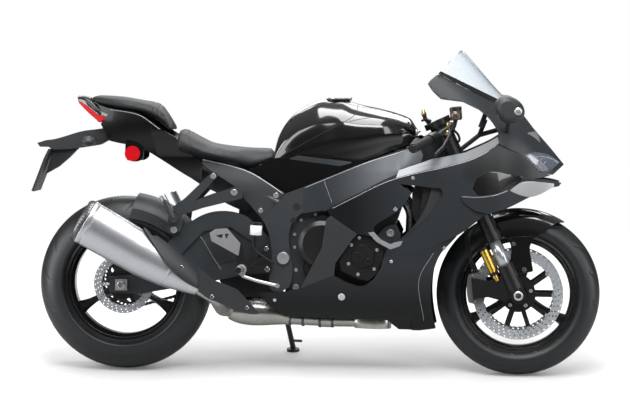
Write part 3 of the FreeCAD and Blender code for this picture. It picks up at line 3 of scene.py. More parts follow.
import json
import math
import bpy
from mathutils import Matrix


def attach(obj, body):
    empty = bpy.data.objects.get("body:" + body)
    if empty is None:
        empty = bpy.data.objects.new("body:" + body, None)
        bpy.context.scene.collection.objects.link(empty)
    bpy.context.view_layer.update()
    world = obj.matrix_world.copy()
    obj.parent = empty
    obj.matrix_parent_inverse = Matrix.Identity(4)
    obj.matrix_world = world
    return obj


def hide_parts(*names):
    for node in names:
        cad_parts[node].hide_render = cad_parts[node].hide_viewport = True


bl_info = {
    "name": "Sport bike finish",
    "version": (1, 0, 0),
    "blender": (4, 5, 0),
    "location": "View3D > Sidebar > Sport bike",
    "description": "Dresses the packed sport bike with bodywork, seats, tyres and running gear",
    "category": "Object",
}

import bmesh
import bpy
import numpy as np
from mathutils import Vector
from mathutils.bvhtree import BVHTree

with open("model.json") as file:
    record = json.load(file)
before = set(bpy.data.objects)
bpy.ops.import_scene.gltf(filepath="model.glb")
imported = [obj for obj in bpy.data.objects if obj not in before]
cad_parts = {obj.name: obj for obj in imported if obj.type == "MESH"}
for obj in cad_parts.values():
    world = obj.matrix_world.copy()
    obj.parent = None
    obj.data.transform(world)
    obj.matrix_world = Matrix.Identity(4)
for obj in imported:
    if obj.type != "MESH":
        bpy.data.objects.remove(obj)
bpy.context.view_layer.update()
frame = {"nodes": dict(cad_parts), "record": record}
MM = 0.001

# Places and sizes, from the frame where it gives them

JOINTS = {joint["name"]: joint for joint in frame["record"]["behaviour"]["joints"]}
REAR_AXLE = np.array(JOINTS["rear_wheel_spin"]["pos_m"])
LEAN_COS = JOINTS["rear_wheel_spin"]["axis"][1]
LEAN_SIN = -JOINTS["rear_wheel_spin"]["axis"][2]
REAR_R = 320.0
FRONT_R = 300.0
WHEELBASE = round(1000 * (JOINTS["front_wheel_spin"]["pos_m"][0] - JOINTS["rear_wheel_spin"]["pos_m"][0]), 1)
RAKE = math.radians(25)
LEG_Y = 107.0
PANEL_T = 4.0
CHAIN_Y = 109.0
CHAIN_PITCH = 15.875
REAR_TEETH = 41
FRONT_TEETH = 17
FRONT_SPROCKET = (668.0, 446.0)
FRONT_DISC_R = 165.0
FRONT_DISC_Y = 70.0
REAR_DISC_R = 110.0
REAR_DISC_Y = 84.0
DISC_T = 5.0
CAST_Y = 500.0
CAST_Z = 1300.0
SUNK = 0.3
MERGE = 0.02


def row(points):
    """Upright bike millimetres to row metres: a turn by the lean about X, then the rear axle's place."""
    p = np.asarray(points, float) - (0, 0, REAR_R)
    x, y, z = p[..., 0], p[..., 1], p[..., 2]
    leaned = np.stack([x, y * LEAN_COS + z * LEAN_SIN, z * LEAN_COS - y * LEAN_SIN], -1)
    return leaned * MM + REAR_AXLE


def upright(points):
    """Row metres back to upright bike millimetres."""
    p = (np.asarray(points, float) - REAR_AXLE) / MM
    x, y, z = p[..., 0], p[..., 1], p[..., 2]
    return np.stack([x, y * LEAN_COS - z * LEAN_SIN, y * LEAN_SIN + z * LEAN_COS + REAR_R], -1)


def fork_x(z):
    """Where the fork legs' centre line is at a height."""
    return WHEELBASE - (z - FRONT_R) * math.tan(RAKE)


# Curves and fields


def blend(stops, x):
    """Smooth value at x through (x, value) stops with no overshoot: cubics with harmonic-mean slopes."""
    at, value = (np.array(c, float) for c in zip(*stops))
    slope = np.diff(value) / np.diff(at)
    left, right = slope[:-1], slope[1:]
    level = left * right <= 0
    mean = np.where(level, 0.0, 2 * left * right / np.where(level, 1.0, left + right))
    tangent = np.concatenate([slope[:1], mean, slope[-1:]])
    x = np.clip(x, at[0], at[-1])
    i = np.clip(np.searchsorted(at, x, side="right") - 1, 0, len(slope) - 1)
    span = at[i + 1] - at[i]
    t = (x - at[i]) / span
    rise = value[i] * (2 * t**3 - 3 * t**2 + 1) + value[i + 1] * (3 * t**2 - 2 * t**3)
    return rise + span * (tangent[i] * (t**3 - 2 * t**2 + t) + tangent[i + 1] * (t**3 - t**2))


def curve(points, count):
    """Count points on the smooth curve through the given ones: cubics with central-difference slopes."""
    p = np.asarray(points, float)
    if len(p) < 3:
        return p[0] + (p[-1] - p[0]) * np.linspace(0, 1, count)[:, None]
    at = np.concatenate([[0], np.cumsum(np.sqrt(np.linalg.norm(np.diff(p, axis=0), axis=1)))])
    slope = np.gradient(p, at, axis=0)
    s = np.linspace(0, at[-1], count)
    i = np.clip(np.searchsorted(at, s, side="right") - 1, 0, len(p) - 2)
    span = (at[i + 1] - at[i])[:, None]
    t = (s - at[i])[:, None] / span
    rise = p[i] * (2 * t**3 - 3 * t**2 + 1) + p[i + 1] * (3 * t**2 - 2 * t**3)
    return rise + span * (slope[i] * (t**3 - 2 * t**2 + t) + slope[i + 1] * (t**3 - t**2))


def outline(start, *runs):
    """Closed side view: a run of one point is a straight edge, a longer run a smooth curve."""
    path = [np.array([start], float)]
    for run in runs:
        through = np.vstack([path[-1][-1:], np.array(run, float)])
        path.append(curve(through, 2 if len(run) == 1 else 8 * len(run))[1:])
    return np.vstack(path)


def inside(view, x, z):
    """Signed distance in mm to a closed side view, positive inside: nearest edge, sign by crossings."""
    a = view
    b = np.roll(view, -1, axis=0)
    px, pz = x[:, None], z[:, None]
    edge = b - a
    along = (px - a[:, 0]) * edge[:, 0] + (pz - a[:, 1]) * edge[:, 1]
    t = np.clip(along / np.maximum((edge**2).sum(1), 1e-9), 0, 1)
    far = np.hypot(px - a[:, 0] - t * edge[:, 0], pz - a[:, 1] - t * edge[:, 1]).min(1)
    straddle = (a[:, 1] > pz) != (b[:, 1] > pz)
    rise = np.where(edge[:, 1] == 0, 1e-9, edge[:, 1])
    crossing = px < a[:, 0] + (pz - a[:, 1]) * edge[:, 0] / rise
    odd = (straddle & crossing).sum(1) % 2 == 1
    return np.where(odd, far, -far)


def step(low, high, x):
    """Smooth step from 0 at low to 1 at high."""
    t = np.clip((x - low) / (high - low), 0, 1)
    return t * t * (3 - 2 * t)


def line_side(a, b, x, z):
    """Distance from the line a to b in side view, positive on its left."""
    way = np.array(b, float) - a
    way /= np.linalg.norm(way)
    return way[0] * (z - a[1]) - way[1] * (x - a[0])


# Surfaces


def pairs(a, b):
    """Every value of a with every value of b, as two flat arrays."""
    return (v.ravel() for v in np.meshgrid(a, b, indexing="ij"))


def grid_quads(rows, cols, wrap_rows=False, wrap_cols=False):
    """Quads of a grid of points stored row by row, closed round in either direction if asked."""
    r = np.arange(rows if wrap_rows else rows - 1)
    c = np.arange(cols if wrap_cols else cols - 1)
    r, c = pairs(r, c)
    r2, c2 = (r + 1) % rows, (c + 1) % cols
    return np.stack([r * cols + c, r2 * cols + c, r2 * cols + c2, r * cols + c2], -1)


def triangles(quads):
    """Each quad as two triangles."""
    return np.vstack([quads[:, [0, 1, 2]], quads[:, [0, 2, 3]]])


def clipped(points, tris, field):
    """The part where field is positive; crossing triangles are cut where the field's line passes."""
    held = field > 0
    count = held[tris].sum(1)
    full = tris[count == 3]
    one, two = tris[count == 1], tris[count == 2]
    turn = lambda t, mask: np.take_along_axis(t, (np.argmax(mask, 1)[:, None] + np.arange(3)) % 3, 1)
    one = turn(one, held[one])
    two = turn(two, ~held[two])
    edges = np.vstack([one[:, [0, 1]], one[:, [0, 2]], two[:, [0, 1]], two[:, [0, 2]]])
    pair, back = np.unique(np.sort(edges, 1), axis=0, return_inverse=True)
    back = back.ravel() + len(points)
    f0, f1 = field[pair[:, 0]], field[pair[:, 1]]
    share = (f0 / (f0 - f1))[:, None]
    cut = points[pair[:, 0]] * (1 - share) + points[pair[:, 1]] * share
    n, m = len(one), len(two)
    ab, ac, pb, pc = back[:n], back[n : 2 * n], back[2 * n : 2 * n + m], back[2 * n + m :]
    tris = np.vstack([
        full, np.stack([one[:, 0], ab, ac], -1), np.stack([pb, two[:, 1], two[:, 2]], -1),
        np.stack([pb, two[:, 2], pc], -1)])
    points = np.vstack([points, cut])
    used, renamed = np.unique(tris, return_inverse=True)
    return points[used], renamed.reshape(-1, 3)


def piece(name, points, faces, which, body="chassis", outward=None, merge=False):
    """A mesh object at the origin from upright millimetres, in the finish named by which.

    Its faces turn away from the point outward, or are made to agree where none is given."""
    points = np.asarray(points, float).reshape(-1, 3)
    faces = np.asarray(faces)
    if outward is not None:
        corners = points[faces[:, :3]]
        normal = np.cross(corners[:, 1] - corners[:, 0], corners[:, 2] - corners[:, 0])
        if ((corners.mean(1) - outward) * normal).sum() < 0:
            faces = faces[:, ::-1]
    mesh = bpy.data.meshes.new(name)
    mesh.from_pydata(row(points).tolist(), [], faces.tolist())
    if merge or outward is None:
        work = bmesh.new()
        work.from_mesh(mesh)
        bmesh.ops.remove_doubles(work, verts=work.verts, dist=MERGE * MM)
        if outward is None:
            bmesh.ops.recalc_face_normals(work, faces=work.faces)
        work.to_mesh(mesh)
        work.free()
    mesh.polygons.foreach_set("use_smooth", np.ones(len(mesh.polygons), bool))
    mesh.materials.append(paint(which))
    made = bpy.data.objects.new(name, mesh)
    bpy.context.collection.objects.link(made)
    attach(made, body)
    return made


def thicken(made, thickness, bevel):
    """A sheet gets its wall inwards, and a small round on its edges, both in millimetres."""
    wall = made.modifiers.new("wall", "SOLIDIFY")
    wall.thickness = thickness * MM
    wall.offset = -1.0
    wall.use_even_offset = False
    edge = made.modifiers.new("edge", "BEVEL")
    edge.width = bevel * MM
    edge.segments = 2
    edge.limit_method = "ANGLE"
    edge.angle_limit = math.radians(50)
    return made


def crisp(made):
    """Smooth shading with sharp edges over 35 degrees."""
    made.data.set_sharp_from_angle(angle=math.radians(35))
    return made


def mirror_y(points):
    """The same points on the other side of the bike."""
    return np.asarray(points, float) * (1, -1, 1)


def panel(name, view, half_width, which, body="chassis", holes=(), cell=6.0, sides=(-1, 1), wall=PANEL_T):
    """Bodywork sheets y = half_width(x, z) over a side view less its holes, one on each side asked for."""
    low, high = view.min(0) - cell, view.max(0) + cell
    x, z = (np.arange(low[k], high[k], cell) for k in (0, 1))
    gx, gz = pairs(x, z)
    field = inside(view, gx, gz)
    for hole in holes:
        field = np.minimum(field, -inside(hole, gx, gz))
    points = np.stack([gx, half_width(gx, gz), gz], -1)
    points, tris = clipped(points, triangles(grid_quads(len(x), len(z))), field)
    made = []
    for side in sides:
        label = name if len(sides) == 1 else name + ("_right" if side < 0 else "_left")
        middle = (points[:, 0].mean(), 0, points[:, 2].mean())
        sheet = piece(label, points * (1, side, 1), tris, which, body, outward=middle)
        made.append(thicken(sheet, wall, 0.8))
    return made


def flat_at(y):
    """Half-width of a flat plate whose outer face is at y."""
    return lambda x, z: np.full_like(x, float(y))


def flat_part(name, field, span, y, which, body, thick, cell=4.0, centre=(0.0, 0.0), side=-1):
    """A flat plate in the X-Z plane where field(x, z) is positive; y is its outer face, on the side given."""
    grid = np.arange(-span, span + cell, cell)
    gx, gz = pairs(grid, grid)
    points = np.stack([gx + centre[0], np.full_like(gx, side * y), gz + centre[1]], -1)
    points, tris = clipped(points, triangles(grid_quads(len(grid), len(grid))), field(gx, gz))
    sheet = piece(name, points, tris, which, body, outward=(centre[0], 0, centre[1]))
    return thicken(sheet, thick, 0.5)


def socket_head(radius, high, foot):
    """Profile of a round head: a recess to 0.45 of its height, a bevelled rim, a foot in the surface."""
    recess_r, floor = radius * 0.48, high * 0.45
    return [(0, floor), (recess_r, floor), (recess_r, high), (radius - 0.8, high), (radius, high - 0.8),
            (radius, -foot), (0, -foot)]


def bolt_heads(name, rows, which, body, way):
    """Socket heads that all face one way: each row is x, y, z, radius and height."""
    parts = [turned(socket_head(radius, high, 1.5), (x, y, z), way, 20) for x, y, z, radius, high in rows]
    return crisp(piece(name, *joined(parts), which, body))


def first_hits(objects, starts, way):
    """Place and normal, in row metres, where the ray from each start first meets one of these objects."""
    graph = bpy.context.evaluated_depsgraph_get()
    trees = [BVHTree.FromObject(made, graph) for made in objects]
    found = []
    for start in starts:
        hits = [tree.ray_cast(Vector(start), way) for tree in trees]
        hits = [hit for hit in hits if hit[0] is not None]
        if not hits:
            raise ValueError("no surface ahead of %s" % start)
        found.append(min(hits, key=lambda hit: hit[3])[:2])
    return found


def cast(objects, spots, side=-1):
    """Points and outward normals where lines along Y at (x, z) spots meet these objects from one side."""
    way = Vector((row((0, -side, 0)) - row((0, 0, 0))) / MM)
    starts = [row((x, side * CAST_Y, z)) for x, z in spots]
    places, normals = (np.array(part) for part in zip(*first_hits(objects, starts, way)))
    points = upright(places)
    normals = upright(places + normals * MM) - points
    return points, normals * np.where(normals[:, 1:2] * side > 0, 1, -1)


def bolts_on(name, objects, spots, which, body="chassis", side=-1, square=True):
    """Socket heads (x, z, radius, height) where they meet the surface, square to the bike or to it."""
    points, normals = cast(objects, [spot[:2] for spot in spots], side)
    ways = np.tile([0.0, float(side), 0.0], (len(spots), 1)) if square else normals
    parts = [turned(socket_head(*spot[2:], 2.5), point, way, 20)
             for point, way, spot in zip(points, ways, spots)]
    return crisp(piece(name, *joined(parts), which, body))


def shown(*names):
    """The objects with these names or name beginnings, frame nodes and new pieces alike."""
    found = [made for made in bpy.data.objects if made.type == "MESH" and not made.hide_render
             and made.name.startswith(names)]
    if not found:
        raise ValueError("nothing shown is named " + ", ".join(names))
    return found


def bead(name, objects, path, radius, which):
    """A thin round line on each side, sunk by 0.3 of its radius along a side-view path on the surface."""
    parts = []
    for side in (-1, 1):
        points, normals = cast(objects, curve(path, 60), side)
        parts.append(tube(points - normals * radius * SUNK, radius, 8))
    return piece(name, *joined(parts), which)


def ridge_line(objects, x, y, radius):
    """A thin round line along the top of these objects, found by rays cast down at each x and y."""
    down = Vector((row((0, 0, -1)) - row((0, 0, 0))) / MM)
    starts = row(np.stack([x, y, 0 * x + CAST_Z], -1))
    spots = upright(np.array([hit[0] for hit in first_hits(objects, starts, down)]))
    return tube(spots - (0, 0, radius * SUNK), radius, 8)


def cross_strip(x, z, wide, steps):
    """A sheet from side to side: each (x, z) of a path carried across by shares of its half-width."""
    across = np.linspace(-1, 1, steps)
    points = np.stack([x[:, None] + 0 * across, wide[:, None] * across, z[:, None] + 0 * across], -1)
    return points.reshape(-1, 3), triangles(grid_quads(len(x), steps))


def section_rings(controls, count):
    """Each ring of controls (station, control, 3) as count points on its smooth curve."""
    return np.stack([curve(ring, count) for ring in controls])


def round_ways(ways, helper, segments):
    """The directions u cos a + v sin a all round each way, with u square to the way and to the helper."""
    u = np.cross(helper, ways)
    u /= np.linalg.norm(u, axis=1)[:, None]
    v = np.cross(ways, u)
    angle = np.arange(segments) * 2 * math.pi / segments
    return np.cos(angle)[None, :, None] * u[:, None] + np.sin(angle)[None, :, None] * v[:, None]


def turned(profile, points, ways, segments=24):
    """A profile of (radius, height) pairs turned round each way at each point, all in one mesh.

    A point is place + way * height + radius * (u cos a + v sin a), with u and v square to the way."""
    profile = np.array(profile, float)
    places = np.array(points, float).reshape(-1, 3)
    ways = np.array(ways, float).reshape(-1, 3) * np.ones_like(places)
    ways /= np.linalg.norm(ways, axis=1)[:, None]
    helper = np.where(np.abs(ways[:, 2:]) > 0.9, [[1.0, 0, 0]], [[0, 0, 1.0]])
    circle = round_ways(ways, helper, segments)
    rings = places[:, None, None] + ways[:, None, None] * profile[None, :, None, 1:]
    rings = rings + circle[:, None] * profile[None, :, None, :1]
    quads = grid_quads(len(profile), segments, wrap_cols=True)
    stride = len(profile) * segments
    faces = (quads[None] + np.arange(len(places))[:, None, None] * stride).reshape(-1, 4)
    return rings.reshape(-1, 3), faces


def tube(path, radius, segments=12):
    """A round tube: circles square to the path's direction; at each end one more, of no radius, closes it."""
    path = np.asarray(path, float)
    way = np.gradient(path, axis=0)
    way /= np.linalg.norm(way, axis=1)[:, None]
    helper = np.array([0.13, 0.31, 0.94]) if abs(way[:, 2]).mean() < 0.7 else np.array([0.94, 0.31, 0.13])
    twice = np.concatenate([[0], np.arange(len(path)), [-1]])
    reach = np.concatenate([[0.0], np.ones(len(path)) * radius, [0.0]])
    points = path[twice][:, None] + round_ways(way, helper, segments)[twice] * reach[:, None, None]
    return points.reshape(-1, 3), grid_quads(len(twice), segments, wrap_cols=True)


def joined(parts):
    """Several (points, faces) as one."""
    points, faces, base = [], [], 0
    for p, f in parts:
        points.append(np.asarray(p, float).reshape(-1, 3))
        faces.append(np.asarray(f) + base)
        base += len(points[-1])
    return np.vstack(points), np.vstack(faces)


# Shader building


class Wire:
    """A shader socket in Python expressions; each expression adds its Math nodes."""

    def __init__(self, tree, socket):
        self.tree = tree
        self.socket = socket

    def make(self, kind, settings, values, output=0):
        """Any node: its settings first, then the values or links of its sockets."""
        node = self.tree.nodes.new(kind)
        for key, value in settings.items():
            setattr(node, key, value)
        for key, value in values.items():
            if isinstance(value, Wire):
                self.tree.links.new(value.socket, node.inputs[key])
            else:
                node.inputs[key].default_value = value
        return Wire(self.tree, node.outputs[output])

    def maths(self, operation, *others):
        """A Math node on this value and others."""
        return self.make("ShaderNodeMath", {"operation": operation}, dict(enumerate((self, *others))))

    def __add__(self, other):
        return self.maths("ADD", other)

    __radd__ = __add__

    def __mul__(self, other):
        return self.maths("MULTIPLY", other)

    __rmul__ = __mul__

    def __sub__(self, other):
        return self.maths("SUBTRACT", other)

    def __rsub__(self, other):
        return self.maths("MULTIPLY", -1.0).maths("ADD", other)

    def noise(self, scale, detail=3.0):
        """Noise value at this vector."""
        values = {"Vector": self, "Scale": scale, "Detail": detail, "Roughness": 0.55}
        return self.make("ShaderNodeTexNoise", {"noise_dimensions": "3D"}, values)

    def stretched(self, scale, turn=(0, 0, 0)):
        """This vector turned and scaled by a Mapping node."""
        return self.make("ShaderNodeMapping", {}, {"Vector": self, "Scale": scale, "Rotation": turn})

    def along(self, axis):
        """One coordinate of this vector: axis 0, 1 or 2 for X, Y or Z."""
        return self.make("ShaderNodeSeparateXYZ", {}, {0: self}, axis)

    def clamped(self):
        """This value held between 0 and 1."""
        return self.maths("MAXIMUM", 0.0).maths("MINIMUM", 1.0)

    def bump(self, depth, strength=1.0):
        """Normal of a surface raised by this value times a depth in millimetres."""
        return self.make("ShaderNodeBump", {}, {"Strength": strength, "Distance": depth * MM, "Height": self})

    def mixed(self, a, b):
        """Colour a where this is 0, colour b where it is 1."""
        return self.make("ShaderNodeMix", {"data_type": "RGBA"}, {0: self, 6: a, 7: b}, 2)


MATERIALS = {}


def finish(name, colour, rough, metal=0.0, coat=0.0, spread=0.05, grain=(0.0, 400.0), mottle=0.0, build=None,
           **fixed):
    """A named material: worn roughness, faint colour mottle and fine surface grain from noise."""
    if name in MATERIALS:
        return MATERIALS[name]
    material = bpy.data.materials.new(name)
    material.use_nodes = True
    tree = material.node_tree
    shader = tree.nodes["Principled BSDF"]
    place = Wire(tree, tree.nodes.new("ShaderNodeTexCoord").outputs["Object"])
    colour = tuple(colour[:3]) + (1.0,)
    shader.inputs["Base Color"].default_value = colour
    shader.inputs["Metallic"].default_value = metal
    shader.inputs["Coat Weight"].default_value = coat
    shader.inputs["Coat Roughness"].default_value = 0.03
    for key, value in fixed.items():
        shader.inputs[key.replace("_", " ")].default_value = value
    wear = place.noise(9.0)
    link = lambda wire, socket: tree.links.new(wire.socket, shader.inputs[socket])
    link(wear * (2 * spread) + (rough - spread), "Roughness")
    if mottle:
        dark = tuple(c * (1 - mottle) for c in colour[:3]) + (1.0,)
        link(place.noise(28.0, 5.0).mixed(dark, colour), "Base Color")
    depth, scale = grain
    if depth:
        link(place.noise(scale, 4.0).bump(depth), "Normal")
    if build:
        build(place, link)
    MATERIALS[name] = material
    return material


def brushed(scale, turn, depth, shades):
    """Fine scratches along one direction: noise stretched hard along it, into roughness, bump and colour."""
    def build(place, link):
        lines = place.stretched(scale, turn).noise(1.0, 4.0)
        link(lines * 0.22 + 0.2, "Roughness")
        link(lines.bump(depth), "Normal")
        link(lines.mixed(*shades), "Base Color")
    return build


def hide_grain(place, link):
    """Pebbled cover: small cells of a Voronoi pattern raised over creases."""
    cells = place.make("ShaderNodeTexVoronoi", {"feature": "SMOOTH_F1"}, {"Vector": place, "Scale": 620.0})
    link((cells * -1.0 + 1.0).bump(0.25, 0.7), "Normal")


def edge_tint(place, link):
    """Clear plastic that darkens and closes up where it is seen edge on."""
    edge = place.make("ShaderNodeLayerWeight", {}, {"Blend": 0.45}, 1)
    edge = (edge * edge).maths("MINIMUM", 1.0)
    link(edge.mixed((0.6, 0.66, 0.71, 1), (0.02, 0.024, 0.03, 1)), "Base Color")
    link(edge * 0.62 + 0.34, "Alpha")


def cowl_painted_shade(place, link):
    """Satin darkened by painted shade at the rear end of the side cowl and in the hollow beside the duct."""
    ahead, high = place.along(0), place.along(2)
    rear = ((ahead - 0.14) * 5.0).clamped()
    near = (ahead - 0.66) * (ahead - 0.66) * 55.0 + (high - 0.775) * (high - 0.775) * 220.0
    colour = tuple(bpy.context.scene.bike_bodywork.satin_colour)
    shaded_colour = tuple(c * 0.2 for c in colour)
    # painted shade: a fifth of the satin colour at the cowl's rear end and in the hollow beside the duct
    link((rear * near.clamped()).mixed(shaded_colour + (1,), colour + (1,)), "Base Color")


def low_painted_shade(place, link):
    """Satin darkened by painted shade towards the foot of the lower cowl, where its face turns down."""
    share = ((place.along(2) - 0.3) * 7.0).clamped()
    # painted shade: near black at the foot, the lower cowl's satin colour higher up
    link(share.mixed((0.0022, 0.0029, 0.0036, 1), (0.021, 0.024, 0.027, 1)), "Base Color")


def spar_painted_highlight(place, link):
    """Painted highlight on the frame spar: dark at its rear end, paler to the steering head, and darker again
    ahead of it.
    """
    ahead = place.along(0)
    rise = (ahead - 0.02) * 4.2
    share = rise.maths("MINIMUM", (0.34 - ahead) * 3.2 + 1.0).clamped()
    # painted highlight: pale grey towards the steering head, near black at both ends of the spar
    link((share * share).mixed((0.024, 0.029, 0.032, 1), (0.17, 0.18, 0.195, 1)), "Base Color")


# A finish is its colour or the setting that holds it, its roughness, and what else it needs

FINISHES = {
    "gloss_black": ("gloss_colour", 0.16, dict(coat=1.0, spread=0.03, grain=(0.02, 60.0),
        Coat_Roughness=0.02)),
    # satin of the cowls, with painted shade at the side cowl's rear end and in the hollow beside the duct
    "satin_black": ("satin_colour", 0.33, dict(spread=0.04, grain=(0.01, 900.0), build=cowl_painted_shade,
        Specular_IOR_Level=0.34)),
    # satin of the lower cowls, with painted shade towards the foot
    "satin_low": ((0.0035, 0.0043, 0.0052), 0.3, dict(spread=0.04, grain=(0.01, 900.0), build=low_painted_shade,
        Specular_IOR_Level=0.25)),
    "tail_gloss": ("gloss_colour", 0.24, dict(coat=0.2, spread=0.04, grain=(0.02, 60.0),
        Coat_Roughness=0.05, Specular_IOR_Level=0.3)),
    # satin of the spar skin, tank strip and cockpit trim, with a painted highlight towards the steering head
    "spar_satin": ((0.03, 0.033, 0.036), 0.34, dict(metal=0.2, grain=(0.01, 900.0), build=spar_painted_highlight,
        Specular_IOR_Level=0.7)),
    "grained_plastic": ((0.019, 0.0218, 0.0245), 0.52, dict(grain=(0.06, 900.0), mottle=0.2,
        Specular_IOR_Level=0.45)),
    "milk_plastic": ((0.78, 0.79, 0.8), 0.3, dict(spread=0.04, mottle=0.06)),
    "frame_black": ((0.04, 0.046, 0.05), 0.38, dict(metal=0.3, grain=(0.03, 500.0), mottle=0.15)),
    "engine_black": ((0.013, 0.013, 0.014), 0.45, dict(metal=0.3, grain=(0.12, 320.0), mottle=0.3)),
    "cover_black": ((0.016, 0.016, 0.017), 0.32, dict(metal=0.35, grain=(0.04, 420.0), mottle=0.3)),
    "wheel_black": ((0.007, 0.007, 0.0075), 0.24, dict(coat=0.5, grain=(0.02, 300.0), Coat_Roughness=0.08)),
    "pipe_steel": ((0.45, 0.45, 0.42), 0.27, dict(metal=0.95, mottle=0.35, grain=(0.03, 300.0))),
    "silencer_steel": ((0.62, 0.62, 0.63), 0.4, dict(metal=0.85, build=brushed(
        (30, 900, 900), (0, math.radians(-30), 0), 0.03, ((0.46, 0.47, 0.5, 1), (0.58, 0.59, 0.62, 1))))),
    "silver_cast": ((0.6, 0.6, 0.62), 0.34, dict(metal=0.85, grain=(0.04, 500.0), mottle=0.15)),
    "bright_steel": ((0.7, 0.7, 0.71), 0.2, dict(metal=1.0, spread=0.06, mottle=0.1)),
    "dark_steel": ((0.12, 0.12, 0.125), 0.35, dict(metal=0.9, mottle=0.3)),
    "gold_anodised": ((0.83, 0.52, 0.09), 0.24, dict(metal=0.9, spread=0.04, mottle=0.12)),
    "bronze": ((0.5, 0.36, 0.16), 0.3, dict(metal=0.9, mottle=0.2)),
    "disc_face": ((0.5, 0.52, 0.55), 0.34, dict(metal=0.55, mottle=0.08)),
    "caliper_grey": ((0.2, 0.2, 0.21), 0.34, dict(metal=0.7, mottle=0.15)),
    "cap_grey": ((0.14, 0.14, 0.145), 0.32, dict(metal=0.8, mottle=0.2)),
    "fork_chrome": ((0.42, 0.44, 0.47), 0.22, dict(metal=0.7, spread=0.03)),
    # pale finish of the edge beads and the outlet lip: painted highlight along edges
    "edge_light": ((0.3, 0.31, 0.33), 0.3, dict(metal=0.4, spread=0.03)),
    "rim_line": ((0.11, 0.11, 0.115), 0.2, dict(metal=0.8, spread=0.04)),
    # silver of the winglet facets and mirror lenses, and of the painted highlight on the nose
    "wing_silver": ((0.5, 0.51, 0.52), 0.3, dict(metal=0.8, coat=0.4, spread=0.03, mottle=0.05)),
    "rubber": ((0.009, 0.009, 0.009), 0.65, dict(grain=(0.08, 700.0), mottle=0.2, Specular_IOR_Level=0.35)),
    "tyre_rubber": ((0.0085, 0.0103, 0.0122), 0.44, dict(grain=(0.08, 600.0), mottle=0.35,
        Specular_IOR_Level=0.5)),
    "seat_cover": ((0.007, 0.008, 0.0095), 0.55, dict(mottle=0.15, build=hide_grain, Specular_IOR_Level=0.3)),
    "red_lens": ((0.5, 0.004, 0.01), 0.4, dict(spread=0.04, mottle=0.3, Specular_IOR_Level=0.12,
        Emission_Color=(0.4, 0.0, 0.0, 1), Emission_Strength=0.06)),
    "white_lens": ((0.75, 0.78, 0.8), 0.12, dict(coat=1.0, spread=0.02, mottle=0.05)),
    "clear_glass": ((0.16, 0.18, 0.22), 0.03, dict(spread=0.01, Alpha=0.4, Specular_IOR_Level=0.6)),
    "clear_screen": ((0.78, 0.82, 0.85), 0.04, dict(spread=0.01, build=edge_tint, Specular_IOR_Level=0.7)),
    "dial_glass": ((0.01, 0.012, 0.015), 0.08, dict(coat=1.0, spread=0.02)),
    "mirror_glass": ((0.85, 0.86, 0.88), 0.04, dict(metal=1.0, spread=0.01)),
    "lamp_inside": ((0.05, 0.055, 0.065), 0.25, dict(metal=0.6, mottle=0.2)),
    "amber_fluid": ((0.06, 0.043, 0.022), 0.2, dict(coat=0.6, mottle=0.3)),
}


def paint(which):
    """The finish of this name, made once; a colour that is a name is read from the scene's settings."""
    colour, rough, others = FINISHES[which]
    if isinstance(colour, str):
        colour = getattr(bpy.context.scene.bike_bodywork, colour)
    return finish(which, colour, rough, **others)


NODE_FINISH = {
    "frame_black": ("main_frame", "subframe", "swingarm", "pillion_hangers", "side_stand"),
    "engine_black": ("engine", "radiator", "rear_caliper"),
    "cover_black": ("engine_covers", "fork_legs", "triple_clamps", "handlebars", "fork_outer_tubes",
                    "lever_sets", "rear_shock", "rider_steps"),
    "pipe_steel": ("exhaust_headers", "exhaust_chamber"),
    "silencer_steel": ("muffler",),
    "grained_plastic": ("muffler_shield", "rear_hugger", "plate_holder", "inner_panels", "mirrors",
                        "instrument", "seat_side_covers", "engine_panels"),
    "silver_cast": ("pedals", "fuel_cap"),
    "dark_steel": ("drive_chain", "rear_sprocket"),
    "caliper_grey": ("front_calipers",),
    "gloss_black": ("fuel_tank", "front_fender"),
    "tail_gloss": ("tail_cowl",),
    "satin_black": ("nose_cowl", "side_cowls", "lower_cowls", "winglets"),
    "seat_cover": ("rider_seat", "pillion_seat"),
    "red_lens": ("red_lenses",),
    "clear_glass": ("headlamps",),
    "clear_screen": ("windscreen",),
    "gold_anodised": ("gas_cylinders",),
    "rubber": ("grips",),
    "wheel_black": ("front_rim", "rear_rim"),
    "tyre_rubber": ("front_tyre", "rear_tyre"),
    "bright_steel": ("front_discs", "rear_disc"),
}


def paint_nodes():
    """Every frame node gets its finish."""
    for which, nodes in NODE_FINISH.items():
        for node in nodes:
            for place in frame["nodes"][node].material_slots:
                place.material = paint(which)


# Bodywork

TANK_TOP = [(545, 805), (562, 868), (600, 930), (650, 972), (720, 1004), (790, 1008), (850, 990), (940, 972),
            (1000, 956), (1045, 938), (1072, 900)]
TANK_LOW = [(545, 700), (620, 700), (720, 716), (850, 764), (950, 806), (1072, 846)]
TANK_WIDE = [(545, 84), (620, 112), (720, 138), (830, 168), (930, 170), (1010, 140), (1072, 92)]
TANK_STATIONS = 110
TANK_AROUND = 81
CAP_X = 782.0
CAP_R = 46.0


def tank_surface(x):
    """Rings of the tank: half-widths rise to the shoulder and close over the rounded top."""
    low, top, wide = blend(TANK_LOW, x), blend(TANK_TOP, x), blend(TANK_WIDE, x)
    levels = [low + (top - low) * k / 4 for k in range(4)]
    shares = (0.9, 0.96, 1.0, 0.9)
    right = [np.stack([x, -wide * s, z], -1) for s, z in zip(shares, levels)]
    left = [mirror_y(p) for p in right[::-1]]
    crown = np.stack([x, 0 * x, top], -1)
    return np.stack(right + [crown] + left, 1)


